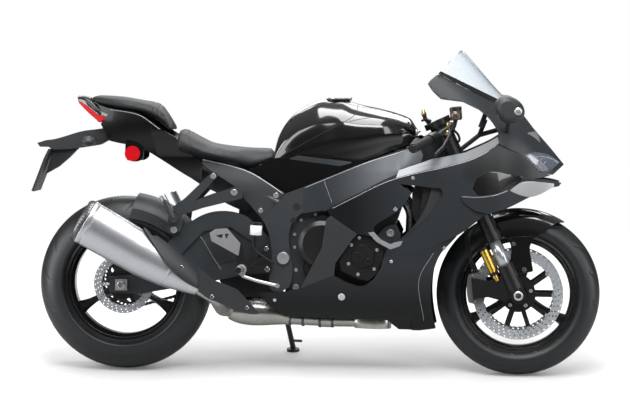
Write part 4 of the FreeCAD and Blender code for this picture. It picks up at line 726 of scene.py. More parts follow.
def build_tank():
    """Gloss tank shell with the filler recess left open for the cap."""
    x = np.linspace(TANK_TOP[0][0], TANK_TOP[-1][0], TANK_STATIONS)
    rings = section_rings(tank_surface(x), TANK_AROUND)
    tris = [triangles(grid_quads(TANK_STATIONS, TANK_AROUND, wrap_cols=True))]
    for k, ring in ((0, 0), (1, TANK_STATIONS - 1)):
        first = ring * TANK_AROUND + np.arange(TANK_AROUND - 1)
        tip = np.full(TANK_AROUND - 1, TANK_STATIONS * TANK_AROUND + k)
        tris.append(np.stack([first, first + 1, tip], -1))
    points = np.vstack([rings.reshape(-1, 3), rings[0].mean(0)[None], rings[-1].mean(0)[None]])
    away = np.hypot(points[:, 0] - CAP_X, points[:, 1]) - CAP_R
    away = np.where(points[:, 2] > 900, away, 100.0)
    points, tris = clipped(points, np.vstack(tris), away)
    shell = piece("tank_shell", points, tris, "gloss_black", outward=(800, 0, 860))
    top = float(blend(TANK_TOP, CAP_X))
    recess = [(CAP_R + 1.5, -6), (CAP_R + 2, -1), (CAP_R, 0.5), (CAP_R - 3, -1), (CAP_R - 4, -9), (26, -9),
              (26, -60), (0, -60)]
    rim = piece("filler_ring", *turned(recess, (CAP_X, 0, top), (0, 0, 1), 64), "cover_black")
    crisp(rim)
    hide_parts("fuel_tank")


SIDE_PLAN = [(500, 208), (640, 213), (960, 216), (1120, 215), (1250, 208), (1372, 182), (1440, 156),
             (1510, 118), (1565, 76)]
SIDE_DROP = [(165, 0.56), (230, 0.74), (330, 0.89), (450, 0.97), (590, 1.0), (720, 0.985), (860, 0.9),
             (1000, 0.76)]
SEAM = [(960, 437), (1150, 487), (1228, 522)]
WING_PLAN = [(1220, 212), (1320, 212), (1440, 186), (1530, 150), (1610, 110)]


def side_half_width(x, z):
    """Half-width of the fairing sides: plan view times front view."""
    return blend(SIDE_PLAN, x) * blend(SIDE_DROP, z)


def lower_half_width(x, z):
    """Fairing side with its front part folded inwards from a crease."""
    edge = np.interp(z, [194, 359, 465], [1108, 1086, 1146])
    return side_half_width(x, z) - np.maximum(x - edge, 0) * 0.16 - np.maximum(238 - z, 0) * 0.35 * (x < 1060)


def build_side_cowls():
    """Satin side cowls round the radiator opening, the lower cowls and the silver facets on the winglets."""
    satin = "satin_black"
    view = outline(
        (755, 605), [(850, 655)], [(985, 720), (1200, 775), (1280, 800), (1340, 830), (1372, 850)],
        [(1440, 819)], [(1510, 756)], [(1562, 737)], [(1455, 712), (1420, 694), (1360, 664)],
        [(1348, 640)], [(1331, 601)], [(1255, 540), SEAM[2]], [SEAM[1], SEAM[0]],
        [(975, 470)], [(935, 510)], [(870, 522)], [(765, 592)])
    outlet = outline((1012, 704), [(1165, 690)], [(1172, 672), (1160, 640), (1135, 600)],
                     [(1100, 560), (1020, 502), (985, 486)], [(940, 510)],
                     [(925, 545), (1000, 600), (1040, 640), (1060, 676)])
    for made in panel("side_cowl", view, side_half_width, satin, holes=(outlet,)):
        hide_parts("side_cowls")
    low = "satin_low"
    lower = outline(
        (960, 436.7), [(1150, 486.7), (1228, 521.7)],
        [(1205, 496), (1165, 450), (1140, 380), (1133, 300), (1140, 230), (1152, 175)],
        [(1090, 167)], [(1015, 168)], [(975, 203)], [(600, 213)], [(540, 260), (500, 300)],
        [(600, 306)], [(658, 318)], [(782, 368)], [(830, 344), (884, 331), (926, 358)], [(950, 398)])
    stand_room = outline((470, 100), [(670, 100)], [(670, 350)], [(470, 350)])
    pieces = panel("lower_cowl_right", lower, lower_half_width, low, sides=(-1,))
    pieces += panel("lower_cowl_left", lower, lower_half_width, low, holes=(stand_room,), sides=(1,))
    for made in pieces:
        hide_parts("lower_cowls")
    flash = outline((1412, 685), [(1455, 714), (1497, 718)], [(1582, 709)], [(1578, 699)],
                    [(1497, 663), (1455, 667), (1412, 685)])
    for made in panel("wing_facet", flash, lambda x, z: blend(WING_PLAN, x) + 0.8, "wing_silver",
                      cell=4.0, wall=1.4):
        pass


NOSE_TOP = [(1100, 1330), (1236, 1190), (1385, 1026), (1455, 962), (1500, 906), (1560, 838), (1612, 776)]
NOSE_WIDE = [(1100, 206), (1240, 204), (1372, 186), (1455, 146), (1510, 112), (1565, 70), (1600, 34),
             (1612, 22)]
NOSE_BASE_Z = 740.0
NOSE_VIEW = outline(
    (1145, 1100), [(1355, 1000)], [(1400, 1036)], [(1613, 784)], [(1611, 776)], [(1566, 736)], [(1510, 757)],
    [(1440, 820)], [(1375, 850)], [(1370, 890), (1340, 940), (1300, 975)], [(1240, 1003)],
    [(1160, 1012)], [(1130, 1040)], [(1110, 1070)])
LAMP_VIEW = outline((1462, 812), [(1500, 822), (1550, 815), (1598, 786)], [(1565, 757)], [(1530, 752)],
                    [(1512, 762)])
SCREEN_VIEW = np.array([(1145, 1100), (1236, 1200), (1400, 1036), (1355, 1000)], float)
SCREEN_TOP = 1173.0
CHIN_PATH = np.array([(1584, 757), (1562, 743), (1513, 766), (1449, 822)], float)
CHIN_HOLE = (1492, 34, 42)


def nose_sheet(inset):
    """Upper cowl surface: half an ellipse over the nose at each station, as a grid of points."""
    x = np.linspace(NOSE_WIDE[0][0], NOSE_WIDE[-1][0], 130)[:, None]
    angle = np.linspace(0, math.pi, 121)[None]
    wide = blend(NOSE_WIDE, x) - inset
    top = blend(NOSE_TOP, x) - inset * 1.6
    z = NOSE_BASE_Z + (top - NOSE_BASE_Z) * np.sin(angle)
    points = np.stack([x + 0 * angle, -wide * np.cos(angle), z], -1).reshape(-1, 3)
    return points, triangles(grid_quads(130, 121))


def nose_wide_at(x, z):
    """Half-width of the nose surface at a height."""
    wide, top = blend(NOSE_WIDE, x), blend(NOSE_TOP, x)
    return wide * np.sqrt(np.clip(1 - ((z - NOSE_BASE_Z) / (top - NOSE_BASE_Z)) ** 2, 0.01, 1))


def nose_part(name, inset, view, which, wall, keep=None):
    """A piece of the upper cowl's surface, moved inwards by inset and cut to a side view."""
    points, tris = nose_sheet(inset)
    field = inside(view, points[:, 0], points[:, 2])
    if keep is not None:
        field = np.minimum(field, keep(points))
    made = piece(name, *clipped(points, tris, field), which, outward=(1350, 0, 740))
    return thicken(made, wall, 0.8)


def build_upper_cowl():
    """Nose shell with its chin, the clear screen and its black foot band."""
    outside_lamp = lambda points: -inside(LAMP_VIEW, points[:, 0], points[:, 2])
    nose = nose_part("nose_shell", 0, NOSE_VIEW, "satin_black", PANEL_T, outside_lamp)
    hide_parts("nose_cowl")
    under = lambda points: SCREEN_TOP - row(points)[:, 2] / MM
    screen = nose_part("screen", 0, SCREEN_VIEW, "clear_screen", 3.0, under)
    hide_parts("windscreen")
    above = lambda points, corner: line_side(SCREEN_VIEW[0], SCREEN_VIEW[corner], points[:, 0], points[:, 2])
    foot = lambda points: 17 - above(points, 3)
    band = nose_part("screen_band", -0.7, SCREEN_VIEW, "gloss_black", 1.2, foot)
    brim = lambda points: np.minimum(3.2 - np.abs(above(points, 1) - 2), under(points) - 0.5)
    rim = nose_part("screen_rim", -0.2, SCREEN_VIEW, "dial_glass", 3.0, brim)
    along = np.linspace(0, 3, 61)
    x, z = (np.interp(along, range(4), CHIN_PATH[:, k]) for k in (0, 1))
    points, tris = cross_strip(x, z, nose_wide_at(x, z) - PANEL_T, 61)
    middle, half_long, half_wide = CHIN_HOLE
    hole = np.maximum(np.abs(points[:, 1]) - half_wide, np.abs(points[:, 0] - middle) - half_long)
    chin = piece("nose_chin", *clipped(points, tris, hole), "satin_black", outward=(1500, 0, 900))
    thicken(chin, PANEL_T, 0.8)


LAMP_BOWL = (1534, 790)
LAMP_BAR = ((1506, 806), (1530, 806), (1560, 799), (1588, 784))


def build_headlamps():
    """Clear lenses, dark housings, and a bright reflector bowl with a thin light bar in each lamp."""
    for side, label in ((-1, "right"), (1, "left")):
        own = lambda points: points[:, 1] * side - 8
        lens = nose_part("lamp_lens_" + label, 0.6, LAMP_VIEW, "clear_glass", 2.5, own)
        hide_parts("headlamps")
        housing = nose_part("lamp_housing_" + label, 16, LAMP_VIEW, "lamp_inside", 2.0, own)
        inner = outline((1474, 811), [(1500, 817), (1530, 816)], [(1520, 798)], [(1508, 770)])
        mirror = nose_part("lamp_reflector_" + label, 9, inner, "mirror_glass", 1.5, own)
        x, z = LAMP_BOWL
        y = side * (float(nose_wide_at(x - 2.0, float(z))) - 14)
        bowl = [(0, -9), (4, -8.5), (8, -6), (11, -2), (12.5, 2), (13.5, 2), (13.5, -10), (0, -11)]
        lamp = piece("lamp_bowl_" + label, *turned(bowl, (x, y, z), (0.75, 0.66 * side, 0), 32),
                     "bright_steel")
        path = [(x, side * (float(nose_wide_at(float(x), float(z))) - 7), z) for x, z in LAMP_BAR]
        strip = piece("lamp_bar_" + label, *tube(curve(path, 24), 2.0, 8), "white_lens")


TAIL_PLAN = [(-190, 20), (-140, 44), (-60, 78), (60, 106), (180, 124), (300, 136), (480, 150), (610, 168)]
TAIL_DROP = [(560, 0.98), (680, 0.95), (780, 0.8), (850, 0.9), (900, 1.0), (960, 0.98), (1010, 0.86)]


def tail_half_width(x, z):
    """Half-width of the tail sides, tucked in under the crease."""
    return blend(TAIL_PLAN, x) * blend(TAIL_DROP, z)


FENDER_GAP = 13.8
FENDER_SIDE_GAP = 11.5
TYRE_HALF = 60


def build_fender():
    """Gloss front mudguard: a domed profile turned round the axle, cut to its side view."""
    crown = FRONT_R + FENDER_GAP
    half = TYRE_HALF + FENDER_SIDE_GAP
    half_profile = [(190, -half), (crown - 62, -half), (crown - 17, -half * 0.8), (crown, 0)]
    profile = curve(half_profile + [(r, -y) for r, y in half_profile[-2::-1]], 61)
    angle = np.radians(np.linspace(20, 150, 150))[:, None]
    r, y = profile[None, :, 0], profile[None, :, 1]
    points = np.stack([WHEELBASE + r * np.cos(angle), y + 0 * angle, FRONT_R + r * np.sin(angle)], -1)
    points = points.reshape(-1, 3)
    view = outline(
        (1345, 660), [(1660, 660)], [(1640, 562)], [(1600, 566), (1572, 556), (1540, 532)],
        [(1509, 506)], [(1450, 500), (1420, 500), (1398, 506)], [(1372, 556)], [(1340, 606)])
    field = inside(view, points[:, 0], points[:, 2])
    points, tris = clipped(points, triangles(grid_quads(150, 61)), field)
    guard = piece("fender_shell", points, tris, "gloss_black", "steering", outward=(WHEELBASE, 0, 450))
    thicken(guard, PANEL_T, 0.8)
    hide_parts("front_fender")
    lobe = outline((1408, 508), [(1509, 518)], [(1490, 474), (1496, 430), (1504, 386)],
                   [(1408, 366)], [(1420, 430), (1422, 474), (1408, 508)])
    for made in panel("fender_lobe", lobe, flat_at(85), "gloss_black", "steering", wall=6.0):
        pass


# Wheels

BEAD_R = 218.0
TREAD_REPEATS = 16
GROOVE_DEEP = 3.2
HOLE_SIDES = 12


def tyre_surface(radius, width, crown, rim_width, around, slant):
    """Tyre skin: a toroid whose tread is cut by rows of slanted grooves.

    The section runs over the tread as an arc of the crown radius and down each wall to the bead; a groove
    lowers the tread where the angle lies near a line that leans back towards the shoulder."""
    half = width / 2
    t = np.linspace(-1, 1, 41)
    reach = half * np.sin(t * math.pi / 2 * 0.98)
    drop = crown - np.sqrt(np.maximum(crown**2 - reach**2, 0))
    tread_r = radius - drop
    wall = np.linspace(0, 1, 16)[1:]
    end_r, bead_r = tread_r[-1], BEAD_R
    wall_r = end_r + (bead_r - end_r) * wall
    wall_y = half * 0.9995 + (rim_width / 2 - half) * wall**2.2 + 2.5 * np.sin(wall * math.pi)
    r = np.concatenate([wall_r[::-1], tread_r, wall_r])
    y = np.concatenate([-wall_y[::-1], reach, wall_y])
    angle = np.linspace(0, 2 * math.pi, around, endpoint=False)[:, None]
    share = np.abs(y) / half
    pitch = 2 * math.pi / TREAD_REPEATS
    depth = np.zeros((around, len(y)))
    for side, phase in ((-1, 0.0), (1, 0.5)):
        for lead, start, stop, wide in ((0.0, 0.1, 0.86, 2.6), (0.42, 0.45, 0.93, 2.2)):
            centre = (phase + lead + slant * (share - start)) * pitch
            gap = (angle - centre[None] + pitch / 2) % pitch - pitch / 2
            near = np.exp(-((gap * radius / wide) ** 2) ** 1.5)
            on = step(start, start + 0.05, share) * (1 - step(stop - 0.05, stop, share)) * (y * side > 0)
            depth = np.maximum(depth, near * on[None])
    r = r[None] - GROOVE_DEEP * depth
    return np.stack([r * np.cos(angle), y[None] + 0 * angle, r * np.sin(angle)], -1)


def build_tyres():
    """Both tyres with their tread grooves, closed round inside the rim."""
    for name, node, centre, data in (
            ("front_tread", "front_tyre", (WHEELBASE, 0, FRONT_R), (FRONT_R, 120, 62, 92, 720, 1.1)),
            ("rear_tread", "rear_tyre", (0, 0, REAR_R), (REAR_R, 190, 96, 150, 760, 1.3))):
        points = tyre_surface(*data) + centre
        quads = grid_quads(*points.shape[:2], wrap_rows=True, wrap_cols=True)
        body = "front_wheel" if "front" in name else "rear_wheel"
        made = piece(name, points, quads, "tyre_rubber", body)
        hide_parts(node)


def perforated(r_in, r_out, rows, count, hole, y, thick, scallop=0.0):
    """A brake ring tiled with cells, each a square with a round hole, closed at the ring's own edges."""
    k = np.arange(HOLE_SIDES)
    way = (k + 0.5) * 2 * math.pi / HOLE_SIDES
    square = np.stack([np.cos(way), np.sin(way)], -1)
    square /= np.abs(square).max(1)[:, None] * 2
    col, line = pairs(np.arange(count), np.arange(rows))
    high = (r_out - r_in) / rows
    cell_a = 2 * math.pi / count
    mid_r = r_in + (line + 0.5) * high
    mid_a = col * cell_a
    border_a = mid_a[:, None] + square[None, :, 0] * cell_a
    border_r = mid_r[:, None] + square[None, :, 1] * high
    inner_edge = border_r < r_in + 0.01
    outer_edge = border_r > r_out - 0.01
    border_r = border_r - inner_edge * scallop * (0.5 + 0.5 * np.cos(count * border_a))
    shift = (line - (rows - 1) / 2) * cell_a * 0.28
    hole_a = (mid_a + shift)[:, None] + hole * np.cos(way)[None] / mid_r[:, None]
    hole_r = mid_r[:, None] + hole * np.sin(way)[None]
    ring = lambda a, r, h: np.stack([r * np.cos(a), np.full_like(a, y + h), r * np.sin(a)], -1)
    points = np.stack([ring(border_a, border_r, -thick / 2), ring(hole_a, hole_r, -thick / 2),
                       ring(hole_a, hole_r, thick / 2), ring(border_a, border_r, thick / 2)], 1)
    quads = grid_quads(4, HOLE_SIDES, wrap_rows=True, wrap_cols=True)
    faces = quads[None] + np.arange(len(col))[:, None, None] * len(quads)
    edge = (inner_edge & np.roll(inner_edge, -1, 1)) | (outer_edge & np.roll(outer_edge, -1, 1))
    kept = np.ones((len(col), len(quads)), bool)
    kept[:, 3 * HOLE_SIDES:] = edge
    return points.reshape(-1, 3), faces[kept]


def spider(hub, bore, reach, arms, arm_w):
    """Field of a hub ring with straight arms: the hub's disc or an arm's band, less the bore."""
    def field(x, z):
        r, a = np.hypot(x, z), np.arctan2(z, x)
        step_a = 2 * math.pi / arms
        off = (a + step_a / 2) % step_a - step_a / 2
        arm = np.minimum(arm_w / 2 - np.abs(r * np.sin(off)), reach - r)
        return np.minimum(np.maximum(hub - r, arm), r - bore)
    return field


def build_brakes():
    """Drilled rings on black spiders, with silver buttons and rotor bolts."""
    front = (WHEELBASE, FRONT_R)
    face = FRONT_DISC_Y + DISC_T / 2
    at = np.arange(10) * 2 * math.pi / 10
    on_circle = lambda radius, a: (front[0] + radius * math.cos(a), front[1] + radius * math.sin(a))
    for side, label in ((-1, "right"), (1, "left")):
        points, faces = perforated(FRONT_DISC_R - 33, FRONT_DISC_R, 3, 46, 3.1, side * FRONT_DISC_Y, DISC_T,
                                   3.0)
        ring = piece("front_disc_" + label, points + (front[0], 0, front[1]), faces, "disc_face",
                     "front_wheel", merge=True)
        crisp(ring)
        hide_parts("front_discs")
        carrier = flat_part("disc_carrier_" + label, spider(64, 34, 137, 10, 15), 140, face - 0.3,
                            "cover_black", "front_wheel", 4.4, 3.0, front, side)
        way = (0, side, 0)
        rows = []
        for radius, angles, head_r, high in ((129, at, 7.2, 1.9), (48, at[::2] + 0.3, 7, 4.0)):
            for x, z in (on_circle(radius, a) for a in angles):
                rows.append((x, side * (face - 0.4), z, head_r, high))
        bolt_heads("disc_buttons_" + label, rows, "silver_cast", "front_wheel", way)
        spacer = turned([(34, 4), (46, 4), (46, 17), (34, 17), (34, 4)],
                        (front[0], side * (FRONT_DISC_Y - 20), front[1]), way, 40)
        piece("disc_spacer_" + label, *spacer, "wheel_black", "front_wheel")
    points, faces = perforated(REAR_DISC_R - 28, REAR_DISC_R, 3, 34, 2.6, -REAR_DISC_Y, DISC_T, 2.5)
    ring = piece("rear_disc_ring", points + (0, 0, REAR_R), faces, "disc_face", "rear_wheel", merge=True)
    crisp(ring)
    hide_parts("rear_disc")
    carrier = flat_part("rear_disc_carrier", spider(58, 30, 86, 6, 16), 90, REAR_DISC_Y + DISC_T / 2 - 0.3,
                        "cover_black", "rear_wheel", 4.4, 3.0, (0, REAR_R))
    profile = [(30, 0), (42, 0), (42, 20), (30, 20), (30, 0)]
    boss = turned(profile, (0, 2.5 - REAR_DISC_Y, REAR_R), (0, 1, 0), 40)
    piece("rear_disc_boss", *boss, "wheel_black", "rear_wheel")


def stamped(shape, y_from, y_to, places, turns):
    """A convex even-sided (x, z) outline extruded along Y, once for each place and turn."""
    shape = np.array(shape, float)
    n = len(shape)
    cos, sin = np.cos(turns)[:, None], np.sin(turns)[:, None]
    x = places[:, :1] + shape[None, :, 0] * cos - shape[None, :, 1] * sin
    z = places[:, 1:] + shape[None, :, 0] * sin + shape[None, :, 1] * cos
    ring = np.stack([np.stack([x, np.full_like(x, y), z], -1) for y in (y_from, y_to)], 1)
    side = grid_quads(2, n, wrap_cols=True)
    k = np.arange(n // 2 - 1)
    low = np.stack([k, k + 1, n - 2 - k, n - 1 - k], -1)
    faces = np.vstack([side, low, low[:, ::-1] + n])
    faces = faces[None] + (np.arange(len(places)) * 2 * n)[:, None, None]
    return ring.reshape(-1, 3), faces.reshape(-1, 4)


def chain_path():
    """Link pins a pitch apart round both sprockets: two straight runs and two arcs of the pitch circles."""
    rear_r = CHAIN_PITCH / (2 * math.sin(math.pi / REAR_TEETH))
    front_r = CHAIN_PITCH / (2 * math.sin(math.pi / FRONT_TEETH))
    rear, front = np.array([0, REAR_R]), np.array(FRONT_SPROCKET)
    reach = np.linalg.norm(front - rear)
    tilt = math.atan2(front[1] - rear[1], front[0] - rear[0])
    flare = math.asin((rear_r - front_r) / reach)
    up, down = tilt + math.pi / 2 - flare, tilt - math.pi / 2 + flare
    arc_f = up + (down - up) * np.linspace(0, 1, 60)
    arc_r = down + (up - 2 * math.pi - down) * np.linspace(0, 1, 160)
    loop = np.vstack([front + front_r * np.stack([np.cos(arc_f), np.sin(arc_f)], -1),
                      rear + rear_r * np.stack([np.cos(arc_r), np.sin(arc_r)], -1)])
    loop = np.vstack([loop, loop[:1]])
    at = np.concatenate([[0], np.cumsum(np.linalg.norm(np.diff(loop, axis=0), axis=1))])
    count = 2 * round(at[-1] / CHAIN_PITCH / 2)
    s = np.arange(count + 1) * at[-1] / count
    return np.stack([np.interp(s, at, loop[:, 0]), np.interp(s, at, loop[:, 1])], -1)


def build_chain():
    """Roller chain: waisted plates in pairs, inner and outer by turns, and a roller on every pin."""
    pins = chain_path()
    middle = (pins[1:] + pins[:-1]) / 2
    way = np.diff(pins, axis=0)
    turns = np.arctan2(way[:, 1], way[:, 0])
    half = CHAIN_PITCH / 2
    plate = [(-half - 5.6, 0), (-half - 4, -4.6), (-half + 1, -6.2), (0, -4.4), (half - 1, -6.2),
             (half + 4, -4.6), (half + 5.6, 0), (half + 4, 4.6), (half - 1, 6.2), (0, 4.4), (-half + 1, 6.2),
             (-half - 4, 4.6)]
    parts = []
    for side in (-1, 1):
        for start, low, high in ((0, 5.7, 7.4), (1, 3.9, 5.5)):
            spot = CHAIN_Y + side * np.array([low, high])
            parts.append(stamped(plate, spot.min(), spot.max(), middle[start::2], turns[start::2]))
    ring = np.arange(8) * math.pi / 4
    roller = np.stack([4.4 * np.cos(ring), 4.4 * np.sin(ring)], -1)
    parts.append(stamped(roller, CHAIN_Y - 3.8, CHAIN_Y + 3.8, pins[:-1], 0 * turns))
    chain = crisp(piece("chain_links", *joined(parts), "dark_steel"))
    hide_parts("drive_chain")


# Seats

RIDER_ROWS = ((196, 812, 893, 132), (222, 806, 888, 141), (250, 800, 874, 146), (284, 791, 856, 149),
              (320, 784, 840, 150), (400, 766, 828, 138), (470, 748, 823, 112), (530, 768, 822, 92),
              (556, 786, 806, 84))
PILLION_ROWS = ((-134, 985, 1003, 36), (-100, 976, 1010, 60), (-20, 962, 1006, 88), (60, 950, 994, 100),
                (98, 936, 988, 104), (122, 921, 980, 106), (150, 900, 944, 105), (172, 876, 902, 104))
FILL_FRAMES = 20


def closed_rings(rows, shares, count, around, slim):
    """Closed loft over (x, low, top, half-width) rows: smooth rounded sections with both ends capped."""
    rows = np.array(rows, float)
    x = np.linspace(rows[0, 0], rows[-1, 0], count)
    low, top, wide = (blend(list(zip(rows[:, 0], rows[:, k])), x) for k in (1, 2, 3))
    low, top, wide = low + slim * 0.4, top - slim, wide - slim
    level = [low + (top - low) * k / len(shares) for k in range(len(shares))]
    right = [np.stack([x, -wide * share, z], -1) for share, z in zip(shares, level)]
    left = [mirror_y(p) for p in right[::-1]]
    crown = np.stack([x, 0 * x, top], -1)
    rings = section_rings(np.stack(right + [crown] + left, 1), around)
    quads = grid_quads(count, around, wrap_cols=True)
    points = np.vstack([rings.reshape(-1, 3), rings[0].mean(0)[None], rings[-1].mean(0)[None]])
    caps = []
    for ring, tip in ((0, count * around), (count - 1, count * around + 1)):
        first = ring * around + np.arange(around)
        second = ring * around + (np.arange(around) + 1) % around
        caps.append(np.stack([first, second, np.full(around, tip)], -1))
    return points, np.vstack([triangles(quads)] + caps)


def applied(made):
    """The object's mesh with its modifiers worked out."""
    graph = bpy.context.evaluated_depsgraph_get()
    return bpy.data.meshes.new_from_object(made.evaluated_get(graph))


def vertex_rows(mesh, key):
    """A vector of every vertex, such as its place or normal, as rows of three."""
    values = np.empty(len(mesh.vertices) * 3)
    mesh.vertices.foreach_get(key, values)
    return values.reshape(-1, 3)


def swell(made, reach, voxel, pressure):
    """Fill a pad as stuffing does: even voxel mesh, cloth under pressure, each point's move capped."""
    remesh = made.modifiers.new("even", "REMESH")
    remesh.mode = "VOXEL"
    remesh.voxel_size = voxel * MM
    even = applied(made)
    made.modifiers.clear()
    made.data = even
    rest = vertex_rows(even, "co")
    cloth = made.modifiers.new("fill", "CLOTH")
    cloth.settings.use_pressure = True
    cloth.settings.uniform_pressure_force = pressure
    cloth.settings.effector_weights.gravity = 0.0
    cloth.point_cache.frame_end = FILL_FRAMES
    for number in range(1, FILL_FRAMES + 1):
        bpy.context.scene.frame_set(number)
    move = vertex_rows(applied(made), "co") - rest
    length = np.linalg.norm(move, axis=1)[:, None]
    move *= np.minimum(1.0, reach * MM / np.maximum(length, 1e-9))
    even.vertices.foreach_set("co", (rest + move).ravel())
    made.modifiers.clear()
    bpy.context.scene.frame_set(1)
    round_off = made.modifiers.new("round", "SUBSURF")
    round_off.levels = 1
    round_off.render_levels = 1
    fine = applied(made)
    made.modifiers.clear()
    made.data = fine
    fine.polygons.foreach_set("use_smooth", np.ones(len(fine.polygons), bool))


def sew(made, lines, depth, wide):
    """Press seams into a pad: points sink toward its middle near each plane x + slope z = at."""
    mesh = made.data
    co = vertex_rows(mesh, "co")
    place = upright(co)
    sink = np.zeros(len(co))
    for at, slope in lines:
        off = place[:, 0] + slope * place[:, 2] - at
        sink = np.maximum(sink, np.exp(-((off / wide) ** 2)))
    co -= vertex_rows(mesh, "normal") * (sink * depth * MM)[:, None]
    mesh.vertices.foreach_set("co", co.ravel())


def build_seats():
    """Rider's seat and pillion pad as swollen covers with sewn seams."""
    plans = (
        ("rider_pad", "rider_seat", RIDER_ROWS, (0.86, 1.0, 0.97, 0.72),
         ((236 + 0.25 * 880, 0.25), (560 - 0.5 * 820, -0.5))),
        ("pillion_pad", "pillion_seat", PILLION_ROWS, (0.92, 1.0, 0.96, 0.7),
         ((100 - 0.1 * 960, -0.1), (124 - 0.1 * 960, -0.1))))
    for name, node, rows, shares, seams in plans:
        points, faces = closed_rings(rows, shares, 60, 64, 3.5)
        made = piece(name, points, faces, "seat_cover", outward=points.mean(0))
        swell(made, 5.0, 6.0, 4.0)
        sew(made, seams, 2.2, 2.6)
        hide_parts(node)


VALVE_R = 194
VALVE_ANGLE = 0.62
CLAMP_PLACES = ((768, -10, 191), (722, -13.7, 191), (660, -22, 195), (612, -29, 197.6))


def build_wheel_details():
    """Polished flange edges, valve stems and the clamps on the pipe under the engine."""
    edge = [(222, 0.4), (224, 1.5), (227.4, 1.6), (228.4, 0.4), (227.4, -0.6), (222, 0.2)]
    well = [(199.5, -0.6), (201, 0.6), (202.5, -0.6), (201, -1.2), (199.5, -0.6)]
    valve = [(0, 0), (3.5, 0), (3.5, 16), (2.6, 18), (2.6, 26), (0, 26)]
    cos, sin = math.cos(VALVE_ANGLE), math.sin(VALVE_ANGLE)
    for body, x, radius, wide in (("front_wheel", WHEELBASE, FRONT_R, 92.0),
                                  ("rear_wheel", 0.0, REAR_R, 150.0)):
        parts = [turned(ring, (x, side * (wide / 2 - inset), radius), (0, side, 0), 120)
                 for side in (-1, 1) for ring, inset in ((edge, 0), (well, 3.5))]
        piece(body + "_flange_lines", *joined(parts), "rim_line", body)
        stem = turned(valve, (x + VALVE_R * cos, -6, radius - VALVE_R * sin), (-cos, 0, sin), 14)
        piece(body + "_valve", *stem, "silver_cast", body)
    rings = turned([(23.6, -5), (28.6, -5), (28.6, 5), (23.6, 5), (23.6, -5)], CLAMP_PLACES, (1, 0, 0), 40)
    crisp(piece("pipe_clamps", *rings, "dark_steel"))


# Silencer

MUFFLER_START = np.array([292.0, -198.0, 316.0])
MUFFLER_END = np.array([-142.0, -238.0, 566.0])
MUFFLER_FORM = np.array([(0.0, 58, 58), (0.12, 96, 84), (0.30, 138, 110), (0.48, 158, 124), (1.0, 168, 128)])


def silencer_axes():
    """The silencer's whole length as a vector, and the unit ways up and across it."""
    way = MUFFLER_END - MUFFLER_START
    unit = way / np.linalg.norm(way)
    up = np.cross(unit, (0, 1, 0))
    up *= np.sign(up[2]) / np.linalg.norm(up)
    return way, up, np.cross(up, unit)


def silencer(name, rows, which):
    """Oval rings square to the silencer's axis, from rows of a share of its length and an inset.

    A ring is centre + up * (high / 2 - inset) * sin a + across * (wide / 2 - inset) * cos a."""
    shares, inset = np.array(rows, float).T
    way, up, across = silencer_axes()
    centre = MUFFLER_START + way * shares[:, None]
    high = np.maximum(blend(MUFFLER_FORM[:, :2], shares) / 2 - inset, 0.0)
    wide = np.maximum(blend(MUFFLER_FORM[:, [0, 2]], shares) / 2 - inset, 0.0)
    angle = np.arange(96) * 2 * math.pi / 96
    rings = centre[:, None] + np.sin(angle)[None, :, None] * (up * high[:, None])[:, None]
    rings = rings + np.cos(angle)[None, :, None] * (across * wide[:, None])[:, None]
    return piece(name, rings, grid_quads(len(shares), 96, wrap_cols=True), which, merge=True)


def build_muffler():
    """Brushed silencer with a seam band and a slotted dark end cap round its outlet."""
    rows = [(0.0, 40), (0.0, 0.4), (0.02, 0)]
    rows += [(share, 0) for share in np.linspace(0.05, 0.235, 8)]
    rows += [(0.24, 0), (0.243, 1.3), (0.249, 1.3), (0.252, 0)]
    rows += [(share, 0) for share in np.linspace(0.27, 0.90, 16)]
    rows += [(0.905, 0), (0.908, 1.2), (0.914, 1.2), (0.917, 0), (0.95, 0), (0.953, 0.8), (0.953, 4),
             (0.88, 4.4)]
    shell = silencer("muffler_shell", rows, "silencer_steel")
    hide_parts("muffler")
    rows = [(0.93, 3.4), (0.953, 2.2), (0.957, 1.4), (0.962, 1.2), (0.992, 8), (1.0, 13), (1.0, 20),
            (0.99, 26), (0.94, 30), (0.93, 90)]
    cap = silencer("muffler_cap", rows, "cap_grey")
    way, up, across = silencer_axes()
    slots = []
    for angle in np.radians(np.arange(0, 360, 9)):
        ends = [MUFFLER_START + way * share + up * (high / 2 - inset) * math.sin(angle)
                + across * (wide / 2 - inset) * math.cos(angle)
                for share, inset, high, wide in ((0.962, 1.6, 167.5, 127.8), (0.99, 7.6, 168, 128))]
        slots.append(tube(ends, 1.2, 6))
    made = piece("muffler_slots", *joined(slots), "rubber")
    mouth = turned([(29, -50), (29, 0), (31, 1.5), (34, 0), (34, -60)], MUFFLER_END + (0, -6, 0), way, 48)
    piece("muffler_outlet", *mouth, "dark_steel")


# Fasteners and fittings

